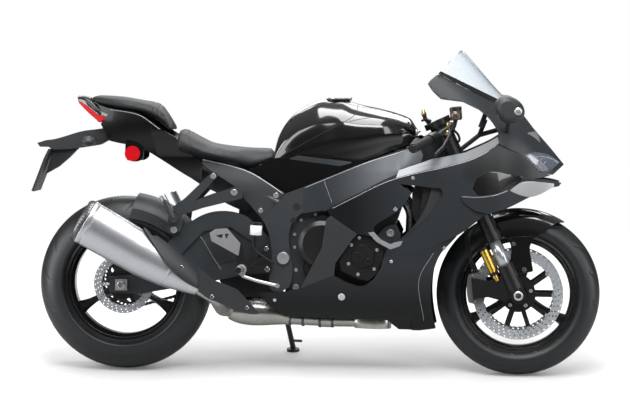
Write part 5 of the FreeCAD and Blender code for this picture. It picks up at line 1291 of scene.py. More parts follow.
STAND_ROOM_X = 700
BOLTS = (
    ("frame_bolts", ("main_frame",), "silver_cast", "chassis", ((595, 428, 22, 5),)),
    ("guard_bolts", ("engine_guard",), "silver_cast", "chassis",
     ((709, 587, 6, 3), (657, 566, 6, 3), (634, 513, 6, 3), (634, 466, 6, 3), (640, 383, 7, 3),
      (640, 320, 12, 5))),
    ("frame_plugs", ("main_frame",), "rubber", "chassis", ((642, 617, 13, 2.5), (630, 567, 10, 2.5))),
    ("cover_bolts", ("engine_covers",), "silver_cast", "chassis",
     ((872, 507, 6, 3), (843, 480, 6, 3), (936, 463, 6, 3), (927, 394, 6, 3), (868, 374, 6, 3),
      (834, 412, 6, 3))),
    ("cover_caps", ("engine_covers",), "cover_black", "chassis", ((867, 435, 20, 4), (907, 421, 13, 4))),
    ("tail_bolts", ("seat_side_covers",), "silver_cast", "chassis", ((565, 654, 10, 3), (509, 598, 9, 3))),
    ("cowl_bolts", ("side_cowl", "lower_cowl"), "silver_cast", "chassis",
     ((1002, 612, 7, 2.5), (1180, 474, 6, 2.5), (989, 423, 6, 2.5), (565, 274, 6, 2.5), (1064, 726, 6, 2.5))),
    ("cowl_fitting", ("lower_cowl",), "silver_cast", "chassis", ((809, 290, 13, 3),)),
    ("hanger_bolts", ("pillion_hangers",), "silver_cast", "chassis",
     ((336, 722, 10, 3), (412, 664, 12, 3), (193, 524, 12, 4))),
    ("step_bolts", ("rider_steps",), "bright_steel", "chassis",
     ((533, 462, 9, 3), (538, 387, 9, 3), (340, 505, 6, 3), (430, 470, 6, 3))),
    ("fender_bolts", ("fender_lobe",), "bright_steel", "steering",
     ((1430, 486, 7, 2.5), (1470, 393, 8, 2.5))),
    ("caliper_bolts", ("front_calipers",), "bright_steel", "steering",
     ((1286, 362, 8, 4), (1286, 276, 8, 4), (1316, 318, 6, 3))),
)


def build_bolts():
    """Fasteners on the surfaces of both sides, but none by the stand on the left lower cowl."""
    for name, names, which, body, spots in BOLTS:
        cowl = name.startswith("cowl")
        for side, label in ((-1, "_right"), (1, "_left")):
            own = [spot for spot in spots if side < 0 or not cowl or spot[0] > STAND_ROOM_X]
            made = bolts_on(name + label, shown(*names), own, which, body, side, not cowl)
    spots = ((232, 394, 7, 3), (342, 288, 7, 3), (470, 250, 7, 3))
    made = bolts_on("shield_bolts", shown("muffler_shield"), spots, "bright_steel")


FORK_TUBE_Z = (406, 498)
GAS_X = 1318
GAS_Z = (372, 470)
BRAKE_LINE = ((1300, 88, 372), (1278, 92, 430), (1262, 84, 520), (1250, 62, 640), (1240, 40, 740))


def build_fork_fittings():
    """Bright inner tubes, fittings of the gas cylinders, brake lines and axle caps."""
    lean_way = (-math.sin(RAKE), 0, math.cos(RAKE))
    low_z, high_z = FORK_TUBE_Z
    long = (high_z - low_z) / math.cos(RAKE)
    gas_low, gas_high = GAS_Z
    gas_x = GAS_X + (gas_high - gas_low) * math.tan(RAKE) + 0.3
    nut = [(9, 0), (9, 6), (14, 6), (17, 4), (17, -2), (9, -2)]
    parts, caps, lines, nuts = [], [], [], []
    for side in (-1, 1):
        parts.append(turned([(21, 0), (21.8, 0.5), (21.8, long), (21, long), (21, 0)],
                            (fork_x(low_z), side * LEG_Y, low_z), lean_way, 40))
        gas_y = side * (LEG_Y - 2)
        caps.append(turned([(0, 3), (13, 3), (16.5, 1), (16.5, -9), (0, -9)], (GAS_X, gas_y, gas_high),
                           lean_way, 28))
        caps.append(turned([(0, 0), (16.4, 0), (16.6, 1), (16.6, 13), (0, 13)], (gas_x, gas_y, gas_low),
                           lean_way, 28))
        for k, back in enumerate((0, 9)):
            route = [(x - back, side * y, z) for x, y, z in BRAKE_LINE]
            lines.append(tube(curve(route, 40), 3.6 - k, 10))
        nuts.append(turned(nut, (WHEELBASE, side * (LEG_Y + 30), FRONT_R), (0, side, 0), 32))
    piece("fork_inner_tubes", *joined(parts), "fork_chrome", "steering")
    crisp(piece("gas_cylinder_caps", *joined(caps), "cover_black", "steering"))
    piece("brake_lines", *joined(lines), "rubber", "steering")
    crisp(piece("front_axle_caps", *joined(nuts), "silver_cast", "steering"))


ARM_FACE_Y = 154.2
ADJUSTER_PLACE = (-44, 131, 320)


def build_rear_fittings():
    """Axle blocks with six-sided nuts, and the bolts of the chain adjusters."""
    square = [(-22, -20), (0, -21), (22, -20), (22, 20), (0, 21), (-22, 20)]
    nut = [(9, 3), (9, 12), (13, 12), (15.5, 10), (15.5, 3)]
    bolt = [(0, 0), (5, 0), (5, 20), (8, 20), (8, 27), (0, 27)]
    x, y, z = ADJUSTER_PLACE
    blocks, bolts = [], []
    for side in (-1, 1):
        face = side * ARM_FACE_Y
        blocks.append(stamped(square, min(face, face + side * 3), max(face, face + side * 3),
                              np.array([[0.0, REAR_R]]), np.zeros(1)))
        blocks.append(turned(nut, (0, face, REAR_R), (0, side, 0), 6))
        bolts.append(turned(bolt, (x, side * y, z), (-1, 0, 0), 12))
    crisp(piece("axle_blocks", *joined(blocks), "silver_cast"))
    crisp(piece("chain_adjusters", *joined(bolts), "bright_steel"))


BAR_TIP = np.array([1066.0, -345.0, 836.0])
BAR_ROOT = np.array([1103.0, -127.0, 889.0])
CUP_PLACE = (1216, 160, 936)
MASTER_PLACE = (1188, 150, 904)
CABLE_ROUTES = (
    (8, 12, 20, ((1130, 0, 898), (1112, 0, 925), (1100, 2, 940), (1097, 3, 952))),
    (4.5, 10, 12, ((1122, -16, 930), (1104, -4, 936), (1088, 6, 930))),
    (8, 10, 24, ((1150, 30, 900), (1165, 18, 915), (1185, 0, 920), (1200, -40, 915))),
    (4.5, 8, 30, ((1188, -150, 900), (1176, -125, 885), (1170, -90, 872), (1178, -50, 868))),
    (4.5, 8, 30, ((1200, -150, 905), (1222, -120, 885), (1228, -80, 862), (1216, -40, 850))))


def build_cockpit():
    """Fluid cups with lids, master cylinder caps, ribbed grips, bar ends, switches and the bars' cables."""
    cups, lids, golds, ribs, ends, knobs = [], [], [], [], [], []
    axis = np.array([-0.1, 0, 1.0])
    inward = (BAR_ROOT - BAR_TIP) / np.linalg.norm(BAR_ROOT - BAR_TIP)
    grip = [(16.9, -0.1)] + [(17.0 + 0.45 * (k % 2), h) for k, h in enumerate(np.arange(0, 86, 2.0))]
    for side in (-1, 1):
        x, y, z = CUP_PLACE
        cups.append(turned([(19, 3), (20.4, 4), (20.4, 34), (19, 34.5)], (x, side * y, z), axis, 32))
        lids.append(turned([(0, 33.5), (20.7, 33.5), (20.9, 36), (20.9, 45), (19, 46.3), (0, 46.3)],
                           (x, side * y, z), axis, 32))
        x, y, z = MASTER_PLACE
        golds.append(turned([(0, 0), (9, 0), (9, 14), (12, 14), (12, 22), (0, 22)], (x, side * y, z),
                            (0.2, 0, 1), 20))
        tip, way = BAR_TIP * (1, -side, 1), inward * (1, -side, 1)
        ribs.append(turned(grip + [(16.9, 87)], tip, way, 32))
        ends.append(turned([(0, -2), (11, -2), (13.5, 0), (13.5, 7), (0, 7)], tip, way, 24))
        knobs.append(turned([(0, 0), (6, 0), (6, 4), (4.5, 5.5), (0, 5.5)], tip + way * 150 + (-14, 0, 12),
                            (-0.6, 0, 0.8), 16))
    bits = [tube(curve(route, count), radius, around) for radius, around, count, route in CABLE_ROUTES]
    piece("bar_fittings", *joined(bits), "cover_black", "steering")
    gold = [turned([(0, 0), (9, 0), (9, 12), (6, 15), (6, 24), (0, 24)], (1097, 3, 948), (-0.2, 0, 1), 18),
            turned([(0, 0), (11, 0), (12, 2), (12, 18), (9, 22), (0, 22)], (1196, -166, 890),
                   (-1, -0.1, 0.1), 20)]
    piece("bar_adjusters", *joined(gold), "bronze", "steering")
    piece("fluid_cups", *joined(cups), "amber_fluid", "steering")
    crisp(piece("fluid_cup_lids", *joined(lids), "cover_black", "steering"))
    crisp(piece("master_caps", *joined(golds), "bronze", "steering"))
    piece("grip_ribs", *joined(ribs), "rubber", "steering")
    crisp(piece("bar_ends", *joined(ends), "cover_black", "steering"))
    crisp(piece("switch_knobs", *joined(knobs), "cover_black", "steering"))


MIRROR_PLACE = (1368, 316, 973)
MIRROR_LENS = (1437, 973)


def build_mirrors():
    """Mirror glass in each pod, an oval of 72 by 54 mm, and the pale lens in each pod's front corner."""
    glasses, lenses = [], []
    x, y, z = MIRROR_PLACE
    turn = np.linspace(0, 2 * math.pi, 40, endpoint=False)
    for side in (-1, 1):
        ring = np.stack([x - 4 * np.sin(turn), side * (y + 36 * np.cos(turn)), z + 27 * np.sin(turn)], -1)
        middle = ring * 0.0 + ring.mean(0)
        rim_in = middle + (ring - middle) * 0.96 + (-6, 0, 0)
        points = np.stack([middle, ring, ring + (-5, 0, 0), rim_in, middle + (-6, 0, 0)], 0)
        glasses.append((points.reshape(-1, 3), grid_quads(5, 40, wrap_cols=True)))
        point, normal = cast(shown("mirrors"), [MIRROR_LENS], side)
        lenses.append(turned([(0, 2.4), (8, 1.8), (13, 0.2), (14, -1.5), (0, -2)], point, normal, 28))
    piece("mirror_glasses", *joined(glasses), "mirror_glass")
    piece("mirror_lenses", *joined(lenses), "wing_silver")


COVER_WIDE = [(456, 112), (560, 124), (620, 132), (720, 148), (850, 164), (900, 166)]
TANK_SEAMS = (((580, 797), (700, 866), (830, 937), (850, 956), (855, 982)),
              ((828, 926), (880, 938), (950, 943), (1010, 932)))


def build_tank_covers():
    """Covers between tank and frame, ridges along the tank's top and the seams of its trim."""
    view = outline((456, 741), [(588, 652)], [(720, 704), (848, 760)], [(900, 782)],
                   [(760, 800), (609, 797)], [(546, 788)])
    for made in panel("tank_side_cover", view, lambda x, z: blend(COVER_WIDE, x), "tail_gloss"):
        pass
    strip = outline((607, 787), [(640, 800)], [(848, 779)], [(796, 764)])
    for made in panel("tank_cover_strip", strip, lambda x, z: blend(COVER_WIDE, x) + 1.2, "spar_satin",
                      cell=4.0, wall=1.4):
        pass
    for k, (y, x_to) in enumerate(((44, 1040), (62, 1030))):
        x = np.linspace(585, x_to, 90)
        out = y * np.interp(x, [585, 700, 1040], [0.6, 1, 0.8])
        parts = [ridge_line(shown("tank_shell"), x, side * out, 1.6) for side in (-1, 1)]
        piece("tank_ridge_%d" % k, *joined(parts), "rubber")
    for k, path in enumerate(TANK_SEAMS):
        seam = bead("tank_seam_%d" % k, shown("tank_shell"), path, 1.3, "rubber")


SKIN_WIDE = [(664, 177), (860, 188), (1000, 170), (1100, 96), (1150, 52)]
COWL_RIM_X = [985, 1200, 1280, 1340, 1372]
COWL_RIM_Z = [722, 777, 802, 832, 856]
LAMP_PATH = [(-186, 1001), (-180, 984), (-146, 952), (-110, 921), (-96, 911), (-74, 930)]


def tail_wing_wide(x, z):
    """Half-width of the tail's side wings: 2 mm off the tail, and 12 mm off above the crease."""
    return tail_half_width(x, z) + 2 + 10 * np.clip((z - 790) / 60, 0, 1) * (x > 0)


def spar_skin_wide(x, z):
    """Half-width of the frame spar's skin, which leans out below towards the steering head."""
    return blend(SKIN_WIDE, x) + 1.4 + np.clip(836 - z, 0, 90) * 0.12 * np.clip((x - 770) / 220, 0, 1)


def cockpit_trim_wide(x, z):
    """Half-width of the trim above the side cowl's rim: it falls inwards as it rises."""
    rise = z - np.interp(x, COWL_RIM_X, COWL_RIM_Z)
    return side_half_width(x, z) - 6 - np.maximum(rise + 4, 0) * 0.55


def proud(half_width, by):
    """The same half-width, moved outwards by some millimetres."""
    return lambda x, z: half_width(x, z) + by


def build_trim():
    """Smaller covers: engine guard, undertray, shock cover, ducts, spar skin, a lip of painted highlight, a
    silver facet of painted highlight on the nose and the tail lamp.
    """
    flats = (
        ("engine_guard", 149, "grained_plastic",
         outline((600, 612), [(660, 616), (730, 606)], [(782, 584), (806, 540)], [(790, 400)], [(700, 350)],
                 [(664, 288)], [(598, 288)], [(606, 340)])),
        ("undertray", 70, "grained_plastic",
         outline((222, 742), [(278, 687)], [(355, 651)], [(366, 626), (398, 608)], [(448, 588)],
                 [(470, 602)], [(436, 660)], [(340, 745)], [(285, 790)], [(230, 790)])),
        ("shock_cover", 62, "grained_plastic",
         outline((424, 640), [(500, 640)], [(572, 585)], [(566, 476)], [(462, 470)], [(440, 520)],
                 [(420, 560)])),
        ("link_plate", 58, "engine_black",
         outline((350, 396), [(566, 400)], [(570, 300)], [(540, 276)], [(440, 276)], [(352, 330)])),
        ("engine_bracket", 166, "frame_black",
         outline((930, 508), [(968, 548), (1004, 556)], [(1022, 520)], [(1012, 494), (980, 486)])),
        ("radiator_duct", 158, "rubber",
         outline((1060, 688), [(1112, 694)], [(1112, 545)], [(1078, 560), (1060, 610)])))
    for name, y, which, view in flats:
        for made in panel(name, view, flat_at(y), which, cell=5.0):
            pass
    wing = outline((98, 898), [(150, 884)], [(190, 862)], [(250, 798)], [(290, 766)], [(285, 692)],
                   [(250, 714)], [(200, 742)], [(150, 772)], [(120, 800)])
    for made in panel("tail_wing", wing, tail_wing_wide, "tail_gloss", wall=2.5):
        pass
    skin = outline((664, 684), [(745, 719), (900, 783)], [(1045, 830)], [(1082, 836)], [(1098, 806)],
                   [(1084, 770), (1040, 744)], [(1000, 722)], [(900, 684), (850, 659)], [(752, 606)],
                   [(664, 592)])
    for made in panel("frame_skin", skin, spar_skin_wide, "spar_satin", wall=1.2):
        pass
    trim = outline((1000, 716), [(1130, 752), (1200, 770), (1280, 794)], [(1340, 824)], [(1372, 848)],
                   [(1374, 884)], [(1340, 862), (1250, 820)], [(1130, 794)], [(1010, 752)])
    for made in panel("cockpit_trim", trim, cockpit_trim_wide, "spar_satin", wall=2.0):
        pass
    heads = [turned([(0, 1.5), (7, 1.5), (8, 5), (13, 5), (15, 3), (15, -1)], (983, side * 166, 523),
                    (0, side, 0), 28) for side in (-1, 1)]
    crisp(piece("engine_mount_bolts", *joined(heads), "silver_cast"))
    duct = outline((1293, 729), [(1344, 751), (1420, 742)], [(1462, 733)], [(1438, 700)],
                   [(1411, 686), (1360, 672), (1300, 664)], [(1278, 690)])
    for made in panel("duct_recess", duct, proud(side_half_width, 0.7), "gloss_black", wall=1.4):
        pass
    # The outlet lip: a pale sheet of painted highlight on the side cowl.
    lip = outline((903, 527), [(935, 494)], [(985, 467)], [(1022, 481)], [(1030, 499)],
                  [(1002, 493), (985, 486)], [(950, 503)], [(925, 530)])
    for made in panel("outlet_lip", lip, proud(side_half_width, 0.6), "edge_light", cell=4.0, wall=1.4):
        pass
    # A pale silver facet on each side of the nose: a painted highlight.
    view = outline((1472, 892), [(1512, 898)], [(1523, 856)], [(1500, 876), (1472, 892)])
    for side, label in ((-1, "right"), (1, "left")):
        own = lambda points: points[:, 1] * side - 2
        flash = nose_part("nose_flash_" + label, -0.6, view, "wing_silver", 1.2, own)
    path = curve(LAMP_PATH, 50)
    rim = cross_strip(path[:, 0], path[:, 1], tail_half_width(path[:, 0], path[:, 1]) + 0.6, 11)
    back = piece("tail_lamp_back", *rim, "red_lens", outward=(-60, 0, 980))
    thicken(back, 2.0, 0.4)
    lid = outline((-186, 1003), [(-184, 993)], [(-152, 975), (-104, 941)], [(-70, 931)], [(-62, 941)],
                  [(-110, 958)], [(-150, 990)])
    for made in panel("tail_lamp_hood", lid, proud(tail_half_width, 1.4), "dial_glass", cell=3.0, wall=2.0):
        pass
    view = outline((-184, 992), [(-178, 980)], [(-146, 950), (-110, 921)], [(-96, 911)], [(-70, 930)],
                   [(-104, 940)], [(-152, 974)])
    for made in panel("tail_lamp_side", view, proud(tail_half_width, 0.8), "red_lens", cell=3.0, wall=2.0):
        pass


PEG_ROOT = (446, 190, 386)
HANGER_ROOT = (150, 174, 650)
BOTTLE_FOOT = (496, -205, 512)


def build_rests():
    """Silver heel plates, peg sleeves and fluid bottle, over the dark brackets."""
    holes = (np.array([(348, 507), (376, 514), (372, 497)], float),
             np.array([(382, 515), (398, 515), (388, 493)], float))
    heel = outline((327, 517), [(348, 531)], [(391, 534)], [(440, 481)], [(433, 435)], [(334, 488)])
    for made in panel("heel_plate", heel, flat_at(195.5), "silver_cast", holes=holes, cell=3.0, wall=3.0):
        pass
    ribs = [(12.2 + 1.2 * (k % 2), h) for k, h in enumerate(np.arange(6, 88, 4.0))]
    peg = [(11.8, 5)] + ribs + [(12.5, 89.5), (10, 92), (0, 92)]
    collar = [(11, 2), (17, 2), (18, 4), (18, 14), (12, 15)]
    folded = [(0, -1), (10, -1), (12.5, 2), (12.5, 66), (11, 68)]
    sleeves = []
    for side in (-1, 1):
        for profile, (x, y, z), way in ((peg, PEG_ROOT, (-6, side * 92, 2)),
                                        (collar, PEG_ROOT, (-6, side * 92, 2)),
                                        (folded, HANGER_ROOT, (42, side * -4, -82))):
            sleeves.append(turned(profile, (x, side * y, z), way, 24))
    crisp(piece("peg_sleeves", *joined(sleeves), "silver_cast"))
    axis = (0.05, 0, 1)
    bottle = turned([(0, -0.5), (20, -0.5), (21.6, 1), (21.6, 37), (19, 39)], BOTTLE_FOOT, axis, 32)
    piece("fluid_bottle", *bottle, "milk_plastic")
    lid = turned([(22.2, 36), (22.4, 38), (22.4, 45), (20, 46.5), (0, 46.5)], BOTTLE_FOOT, axis, 32)
    crisp(piece("fluid_bottle_lid", *lid, "cover_black"))
    route = [(494, -205, 512), (486, -203, 480), (500, -200, 452), (530, -196, 430), (560, -184, 410)]
    hose = tube(curve(route, 40), 4.0, 10)
    piece("fluid_hose", *hose, "rubber")


# Pale lines of painted highlight: name, objects they lie on, radius and side-view path.
EDGES = (
    ("frame_edge", ("frame_skin",), 1.5, ((672, 685), (745, 716), (900, 780), (1000, 812), (1040, 825))),
    ("frame_seam", ("frame_skin",), 0.9, ((741, 712), (754, 676), (770, 634))),
    ("cowl_edge", ("side_cowl",), 1.3,
     ((775, 613), (850, 652), (985, 717), (1200, 772), (1280, 797), (1336, 826))),
    ("cover_edge", ("seat_side_covers",), 2.0, ((292, 780), (400, 757), (470, 734), (540, 694), (590, 661))),
    ("tail_edge", ("tail_cowl",), 1.2, ((-56, 958), (0, 952), (60, 938), (120, 898), (165, 865))),
    ("arm_crease", ("swingarm",), 1.2, ((286, 500), (298, 486), (334, 425), (366, 380))),
    ("cowl_crease", ("lower_cowl",), 0.8, ((1140, 455), (1090, 359), (1108, 204))),
    ("wing_edge", ("side_cowl", "winglets"), 1.5, ((1240, 661), (1300, 659), (1358, 667), (1405, 684))),
)


def build_edges():
    """Thin raised lines in a pale finish, painted highlights along the edges of the frame, the cowls, the
    tail and the swingarm.
    """
    for name, names, radius, path in EDGES:
        made = bead(name, shown(*names), path, radius, "edge_light")


# Stage

FLOOR_HALF = 60.0
SENSOR_WIDTH = 36.0
AIM = (700, 0, 560)
LAMPS = (
    ("top", (600, -500, 3400), (3.4, 2.2), 170),
    ("front_side", (3100, -2600, 1900), (0.9, 2.2), 26),
    ("rear_side", (-2300, -2400, 1900), (0.9, 2.2), 30),
    ("side_high", (1000, -2500, 2700), (2.4, 0.7), 60),
    ("left_top", (700, 2600, 2600), (3.2, 1.6), 60),
    ("nose", (3900, -900, 900), (1.0, 2.4), 30),
    ("tail", (-2500, -900, 900), (1.0, 2.4), 50),
)


def turned_to(place, target):
    """Rotation that points a lamp or camera at this place, in row metres, to the target."""
    return (Vector(target) - Vector(place)).to_track_quat("-Z", "Y").to_euler()


def build_floor():
    """Pale floor that fades to the white surroundings and shows less bright in reflections."""
    scene = bpy.context.scene
    look = scene.bike_stage
    mesh = bpy.data.meshes.new("floor")
    corners = [(-1, -1), (1, -1), (1, 1), (-1, 1)]
    mesh.from_pydata([(x * FLOOR_HALF, y * FLOOR_HALF, 0) for x, y in corners], [], [(0, 1, 2, 3)])
    floor = bpy.data.objects.new("floor", mesh)
    scene.collection.objects.link(floor)
    material = bpy.data.materials.new("floor_white")
    material.use_nodes = True
    tree = material.node_tree
    shader = tree.nodes["Principled BSDF"]
    shader.inputs["Roughness"].default_value = 0.9
    shader.inputs["Specular IOR Level"].default_value = 0.1
    place = Wire(tree, tree.nodes.new("ShaderNodeTexCoord").outputs["Object"])
    seen = Wire(tree, tree.nodes.new("ShaderNodeLightPath").outputs["Is Camera Ray"])
    shade = seen.mixed((look.floor_mirrored,) * 3 + (1,), (look.floor_shade,) * 3 + (1,))
    tree.links.new(shade.socket, shader.inputs["Base Color"])
    far = place.make("ShaderNodeVectorMath", {"operation": "LENGTH"}, {0: place}, 1)
    share = ((far - 1.2) * 0.7).maths("MAXIMUM", look.floor_white).maths("MINIMUM", 1.0) * seen
    glow = tree.nodes.new("ShaderNodeEmission")
    mix = tree.nodes.new("ShaderNodeMixShader")
    tree.links.new(share.socket, mix.inputs[0])
    tree.links.new(shader.outputs[0], mix.inputs[1])
    tree.links.new(glow.outputs[0], mix.inputs[2])
    tree.links.new(mix.outputs[0], tree.nodes["Material Output"].inputs["Surface"])
    mesh.materials.append(material)


def build_surroundings():
    """World that is white to the camera and through glass, and dimmer as light, most of it from above."""
    scene = bpy.context.scene
    look = scene.bike_stage
    world = bpy.data.worlds.new("surroundings")
    scene.world = world
    world.use_nodes = True
    tree = world.node_tree
    seen = tree.nodes.new("ShaderNodeLightPath")
    start = Wire(tree, seen.outputs["Is Camera Ray"])
    direct = start.maths("MAXIMUM", Wire(tree, seen.outputs["Is Transmission Ray"]))
    high = Wire(tree, tree.nodes.new("ShaderNodeTexCoord").outputs["Generated"]).along(2)
    sky = (high.maths("MAXIMUM", 0.0) * (look.world_top - look.world_low)) + look.world_low
    strength = direct + (1.0 - direct) * sky
    tree.nodes["Background"].inputs["Color"].default_value = (1, 1, 1, 1)
    tree.links.new(strength.socket, tree.nodes["Background"].inputs["Strength"])


def build_stage():
    """Floor, surroundings, soft lamps round the bike and the camera of the side view."""
    scene = bpy.context.scene
    look = scene.bike_stage
    scene.view_settings.view_transform = "Standard"
    build_floor()
    build_surroundings()
    for name, place, extent, power in LAMPS:
        data = bpy.data.lights.new(name, "AREA")
        data.shape = "RECTANGLE"
        data.size, data.size_y = extent
        data.energy = power * look.lamp_share
        lamp = bpy.data.objects.new(name, data)
        lamp.location = Vector(row(place))
        lamp.rotation_euler = turned_to(lamp.location, row(AIM))
        scene.collection.objects.link(lamp)

    data = bpy.data.cameras.new("side_view")
    camera = bpy.data.objects.new("side_view", data)
    scene.collection.objects.link(camera)
    camera.location = Vector(row(look.camera_place))
    target = Vector(row(look.camera_target))
    camera.rotation_euler = turned_to(camera.location, target)
    data.sensor_width = SENSOR_WIDTH
    data.lens = SENSOR_WIDTH * (target - camera.location).length / (look.view_width * MM)
    data.clip_end = 200.0
    scene.camera = camera


# Add-on


class BikeBodywork(bpy.types.PropertyGroup):
    """Colours of the painted parts."""

    gloss_colour: bpy.props.FloatVectorProperty(
        name="Gloss paint", description="Colour of the tank, fender and tail tip", subtype="COLOR",
        default=(0.0028, 0.0028, 0.0032), min=0.0, max=1.0)
    satin_colour: bpy.props.FloatVectorProperty(
        name="Satin paint", description="Colour of the cowls", subtype="COLOR",
        default=(0.021, 0.024, 0.027), min=0.0, max=1.0)


class BikeStage(bpy.types.PropertyGroup):
    """Camera, lamps and floor."""

    camera_place: bpy.props.FloatVectorProperty(
        name="Camera place", description="Camera in upright bike millimetres",
        default=(1306.0, -10000.0, 1075.0))
    camera_target: bpy.props.FloatVectorProperty(
        name="Camera target", description="Point at the picture's middle in upright bike millimetres",
        default=(698.0, 0.0, 596.0))
    view_width: bpy.props.FloatProperty(
        name="View width", description="Width of the picture at the bike, in millimetres", default=2328.0,
        min=100.0)
    lamp_share: bpy.props.FloatProperty(
        name="Lamp share", description="Strength of all lamps together", default=1.0, min=0.0, max=4.0)
    world_low: bpy.props.FloatProperty(
        name="World at the horizon", description="Light on the bike from the sides", default=0.04, min=0.0,
        max=1.0)
    world_top: bpy.props.FloatProperty(
        name="World overhead", description="Light on the bike from above", default=0.38, min=0.0, max=2.0)
    floor_shade: bpy.props.FloatProperty(
        name="Floor shade", description="How pale the floor is", default=0.72, min=0.0, max=1.0)
    floor_mirrored: bpy.props.FloatProperty(
        name="Floor in reflections", description="How pale the floor is to all but the camera", default=0.42,
        min=0.0, max=1.0)
    floor_white: bpy.props.FloatProperty(
        name="Floor whitening", description="How much the picture lifts the floor near the bike to white",
        default=0.1, min=0.0, max=1.0)


class BIKE_OT_nodes(bpy.types.Operator):
    """Give every frame node its finish."""

    bl_idname = "bike.paint_nodes"
    bl_label = "Paint frame nodes"

    def execute(self, context):
        paint_nodes()
        return {"FINISHED"}


class BIKE_OT_tank(bpy.types.Operator):
    """Make the fuel tank's gloss shell."""

    bl_idname = "bike.tank"
    bl_label = "Tank"

    def execute(self, context):
        build_tank()
        return {"FINISHED"}


class BIKE_OT_side_cowls(bpy.types.Operator):
    """Make the side and lower cowls."""

    bl_idname = "bike.side_cowls"
    bl_label = "Side cowls"

    def execute(self, context):
        build_side_cowls()
        return {"FINISHED"}


class BIKE_OT_upper_cowl(bpy.types.Operator):
    """Make the nose, the screen and the lamps."""

    bl_idname = "bike.upper_cowl"
    bl_label = "Upper cowl"

    def execute(self, context):
        build_upper_cowl()
        return {"FINISHED"}


class BIKE_OT_fender(bpy.types.Operator):
    """Make the front fender."""

    bl_idname = "bike.fender"
    bl_label = "Front fender"

    def execute(self, context):
        build_fender()
        return {"FINISHED"}


class BIKE_OT_tyres(bpy.types.Operator):
    """Make the tyres' tread."""

    bl_idname = "bike.tyres"
    bl_label = "Tyres"

    def execute(self, context):
        build_tyres()
        return {"FINISHED"}


class BIKE_OT_headlamps(bpy.types.Operator):
    """Make the headlamps."""

    bl_idname = "bike.headlamps"
    bl_label = "Headlamps"

    def execute(self, context):
        build_headlamps()
        return {"FINISHED"}


class BIKE_OT_brakes(bpy.types.Operator):
    """Make the brake discs."""

    bl_idname = "bike.brakes"
    bl_label = "Brake discs"

    def execute(self, context):
        build_brakes()
        return {"FINISHED"}


class BIKE_OT_chain(bpy.types.Operator):
    """Make the drive chain's links."""

    bl_idname = "bike.chain"
    bl_label = "Chain"

    def execute(self, context):
        build_chain()
        return {"FINISHED"}


class BIKE_OT_seats(bpy.types.Operator):
    """Make the padded seats."""

    bl_idname = "bike.seats"
    bl_label = "Seats"

    def execute(self, context):
        build_seats()
        return {"FINISHED"}


class BIKE_OT_covers(bpy.types.Operator):
    """Make the covers and seams of the tank."""

    bl_idname = "bike.covers"
    bl_label = "Tank covers"

    def execute(self, context):
        build_tank_covers()
        return {"FINISHED"}


class BIKE_OT_bolts(bpy.types.Operator):
    """Set the fasteners."""

    bl_idname = "bike.bolts"
    bl_label = "Bolts"

    def execute(self, context):
        build_bolts()
        return {"FINISHED"}


class BIKE_OT_fork_fittings(bpy.types.Operator):
    """Make what sits on the fork."""

    bl_idname = "bike.fork_fittings"
    bl_label = "Fork fittings"

    def execute(self, context):
        build_fork_fittings()
        return {"FINISHED"}


class BIKE_OT_rear_fittings(bpy.types.Operator):
    """Make what sits round the rear axle."""

    bl_idname = "bike.rear_fittings"
    bl_label = "Rear fittings"

    def execute(self, context):
        build_rear_fittings()
        return {"FINISHED"}


class BIKE_OT_cockpit(bpy.types.Operator):
    """Make the fittings of the handlebars."""

    bl_idname = "bike.cockpit"
    bl_label = "Cockpit"

    def execute(self, context):
        build_cockpit()
        return {"FINISHED"}


class BIKE_OT_mirrors(bpy.types.Operator):
    """Make the mirror glasses and lenses."""

    bl_idname = "bike.mirrors"
    bl_label = "Mirrors"

    def execute(self, context):
        build_mirrors()
        return {"FINISHED"}


class BIKE_OT_muffler(bpy.types.Operator):
    """Make the silencer."""

    bl_idname = "bike.muffler"
    bl_label = "Silencer"

    def execute(self, context):
        build_muffler()
        return {"FINISHED"}


class BIKE_OT_trim(bpy.types.Operator):
    """Make the smaller covers and lamps."""

    bl_idname = "bike.trim"
    bl_label = "Trim"

    def execute(self, context):
        build_trim()
        return {"FINISHED"}


class BIKE_OT_rests(bpy.types.Operator):
    """Make the silver parts of the foot rests."""

    bl_idname = "bike.rests"
    bl_label = "Foot rests"

    def execute(self, context):
        build_rests()
        return {"FINISHED"}


class BIKE_OT_edges(bpy.types.Operator):
    """Make the painted highlight lines along the edges."""

    bl_idname = "bike.edges"
    bl_label = "Edges"

    def execute(self, context):
        build_edges()
        return {"FINISHED"}


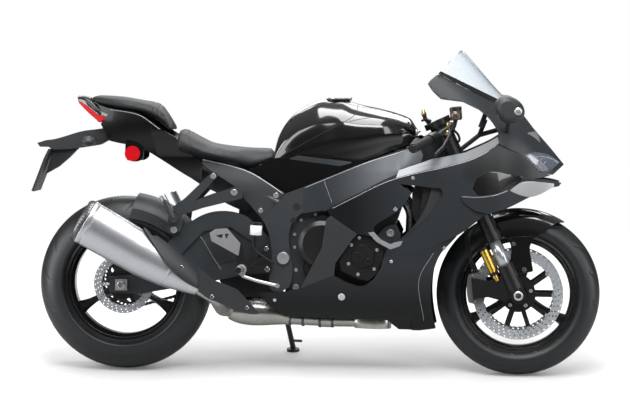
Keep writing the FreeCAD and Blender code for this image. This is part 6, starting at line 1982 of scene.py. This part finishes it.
class BIKE_OT_wheel_details(bpy.types.Operator):
    """Make the rim edges, valves and pipe clamps."""

    bl_idname = "bike.wheel_details"
    bl_label = "Wheel details"

    def execute(self, context):
        build_wheel_details()
        return {"FINISHED"}


class BIKE_OT_stage(bpy.types.Operator):
    """Set the floor, the lamps and the camera."""

    bl_idname = "bike.stage"
    bl_label = "Stage"

    def execute(self, context):
        build_stage()
        return {"FINISHED"}


STEPS = (BIKE_OT_nodes, BIKE_OT_tank, BIKE_OT_side_cowls, BIKE_OT_upper_cowl, BIKE_OT_headlamps,
         BIKE_OT_fender, BIKE_OT_tyres, BIKE_OT_brakes, BIKE_OT_chain, BIKE_OT_seats, BIKE_OT_muffler,
         BIKE_OT_covers, BIKE_OT_trim, BIKE_OT_wheel_details, BIKE_OT_rests, BIKE_OT_bolts,
         BIKE_OT_fork_fittings, BIKE_OT_rear_fittings, BIKE_OT_cockpit, BIKE_OT_mirrors, BIKE_OT_edges,
         BIKE_OT_stage)


class BIKE_PT_panel(bpy.types.Panel):
    """Sidebar list of the bike's steps and settings."""

    bl_label = "Sport bike"
    bl_idname = "BIKE_PT_panel"
    bl_space_type = "VIEW_3D"
    bl_region_type = "UI"
    bl_category = "Sport bike"

    def draw(self, context):
        for step_class in STEPS:
            self.layout.operator(step_class.bl_idname)
        for group in (context.scene.bike_bodywork, context.scene.bike_stage):
            for key in group.bl_rna.properties.keys()[2:]:
                self.layout.prop(group, key)


CLASSES = (BikeBodywork, BikeStage, *STEPS, BIKE_PT_panel)


def register():
    """Add the classes and the scene's settings."""
    for made in CLASSES:
        bpy.utils.register_class(made)
    bpy.types.Scene.bike_bodywork = bpy.props.PointerProperty(type=BikeBodywork)
    bpy.types.Scene.bike_stage = bpy.props.PointerProperty(type=BikeStage)


def unregister():
    """Take the classes and the settings out again."""
    del bpy.types.Scene.bike_stage
    del bpy.types.Scene.bike_bodywork
    for made in reversed(CLASSES):
        bpy.utils.unregister_class(made)


def main():
    """Dress the bike."""
    register()
    for made in STEPS:
        group, action = made.bl_idname.split(".")
        getattr(getattr(bpy.ops, group), action)()


if __name__ == "__main__":
    main()
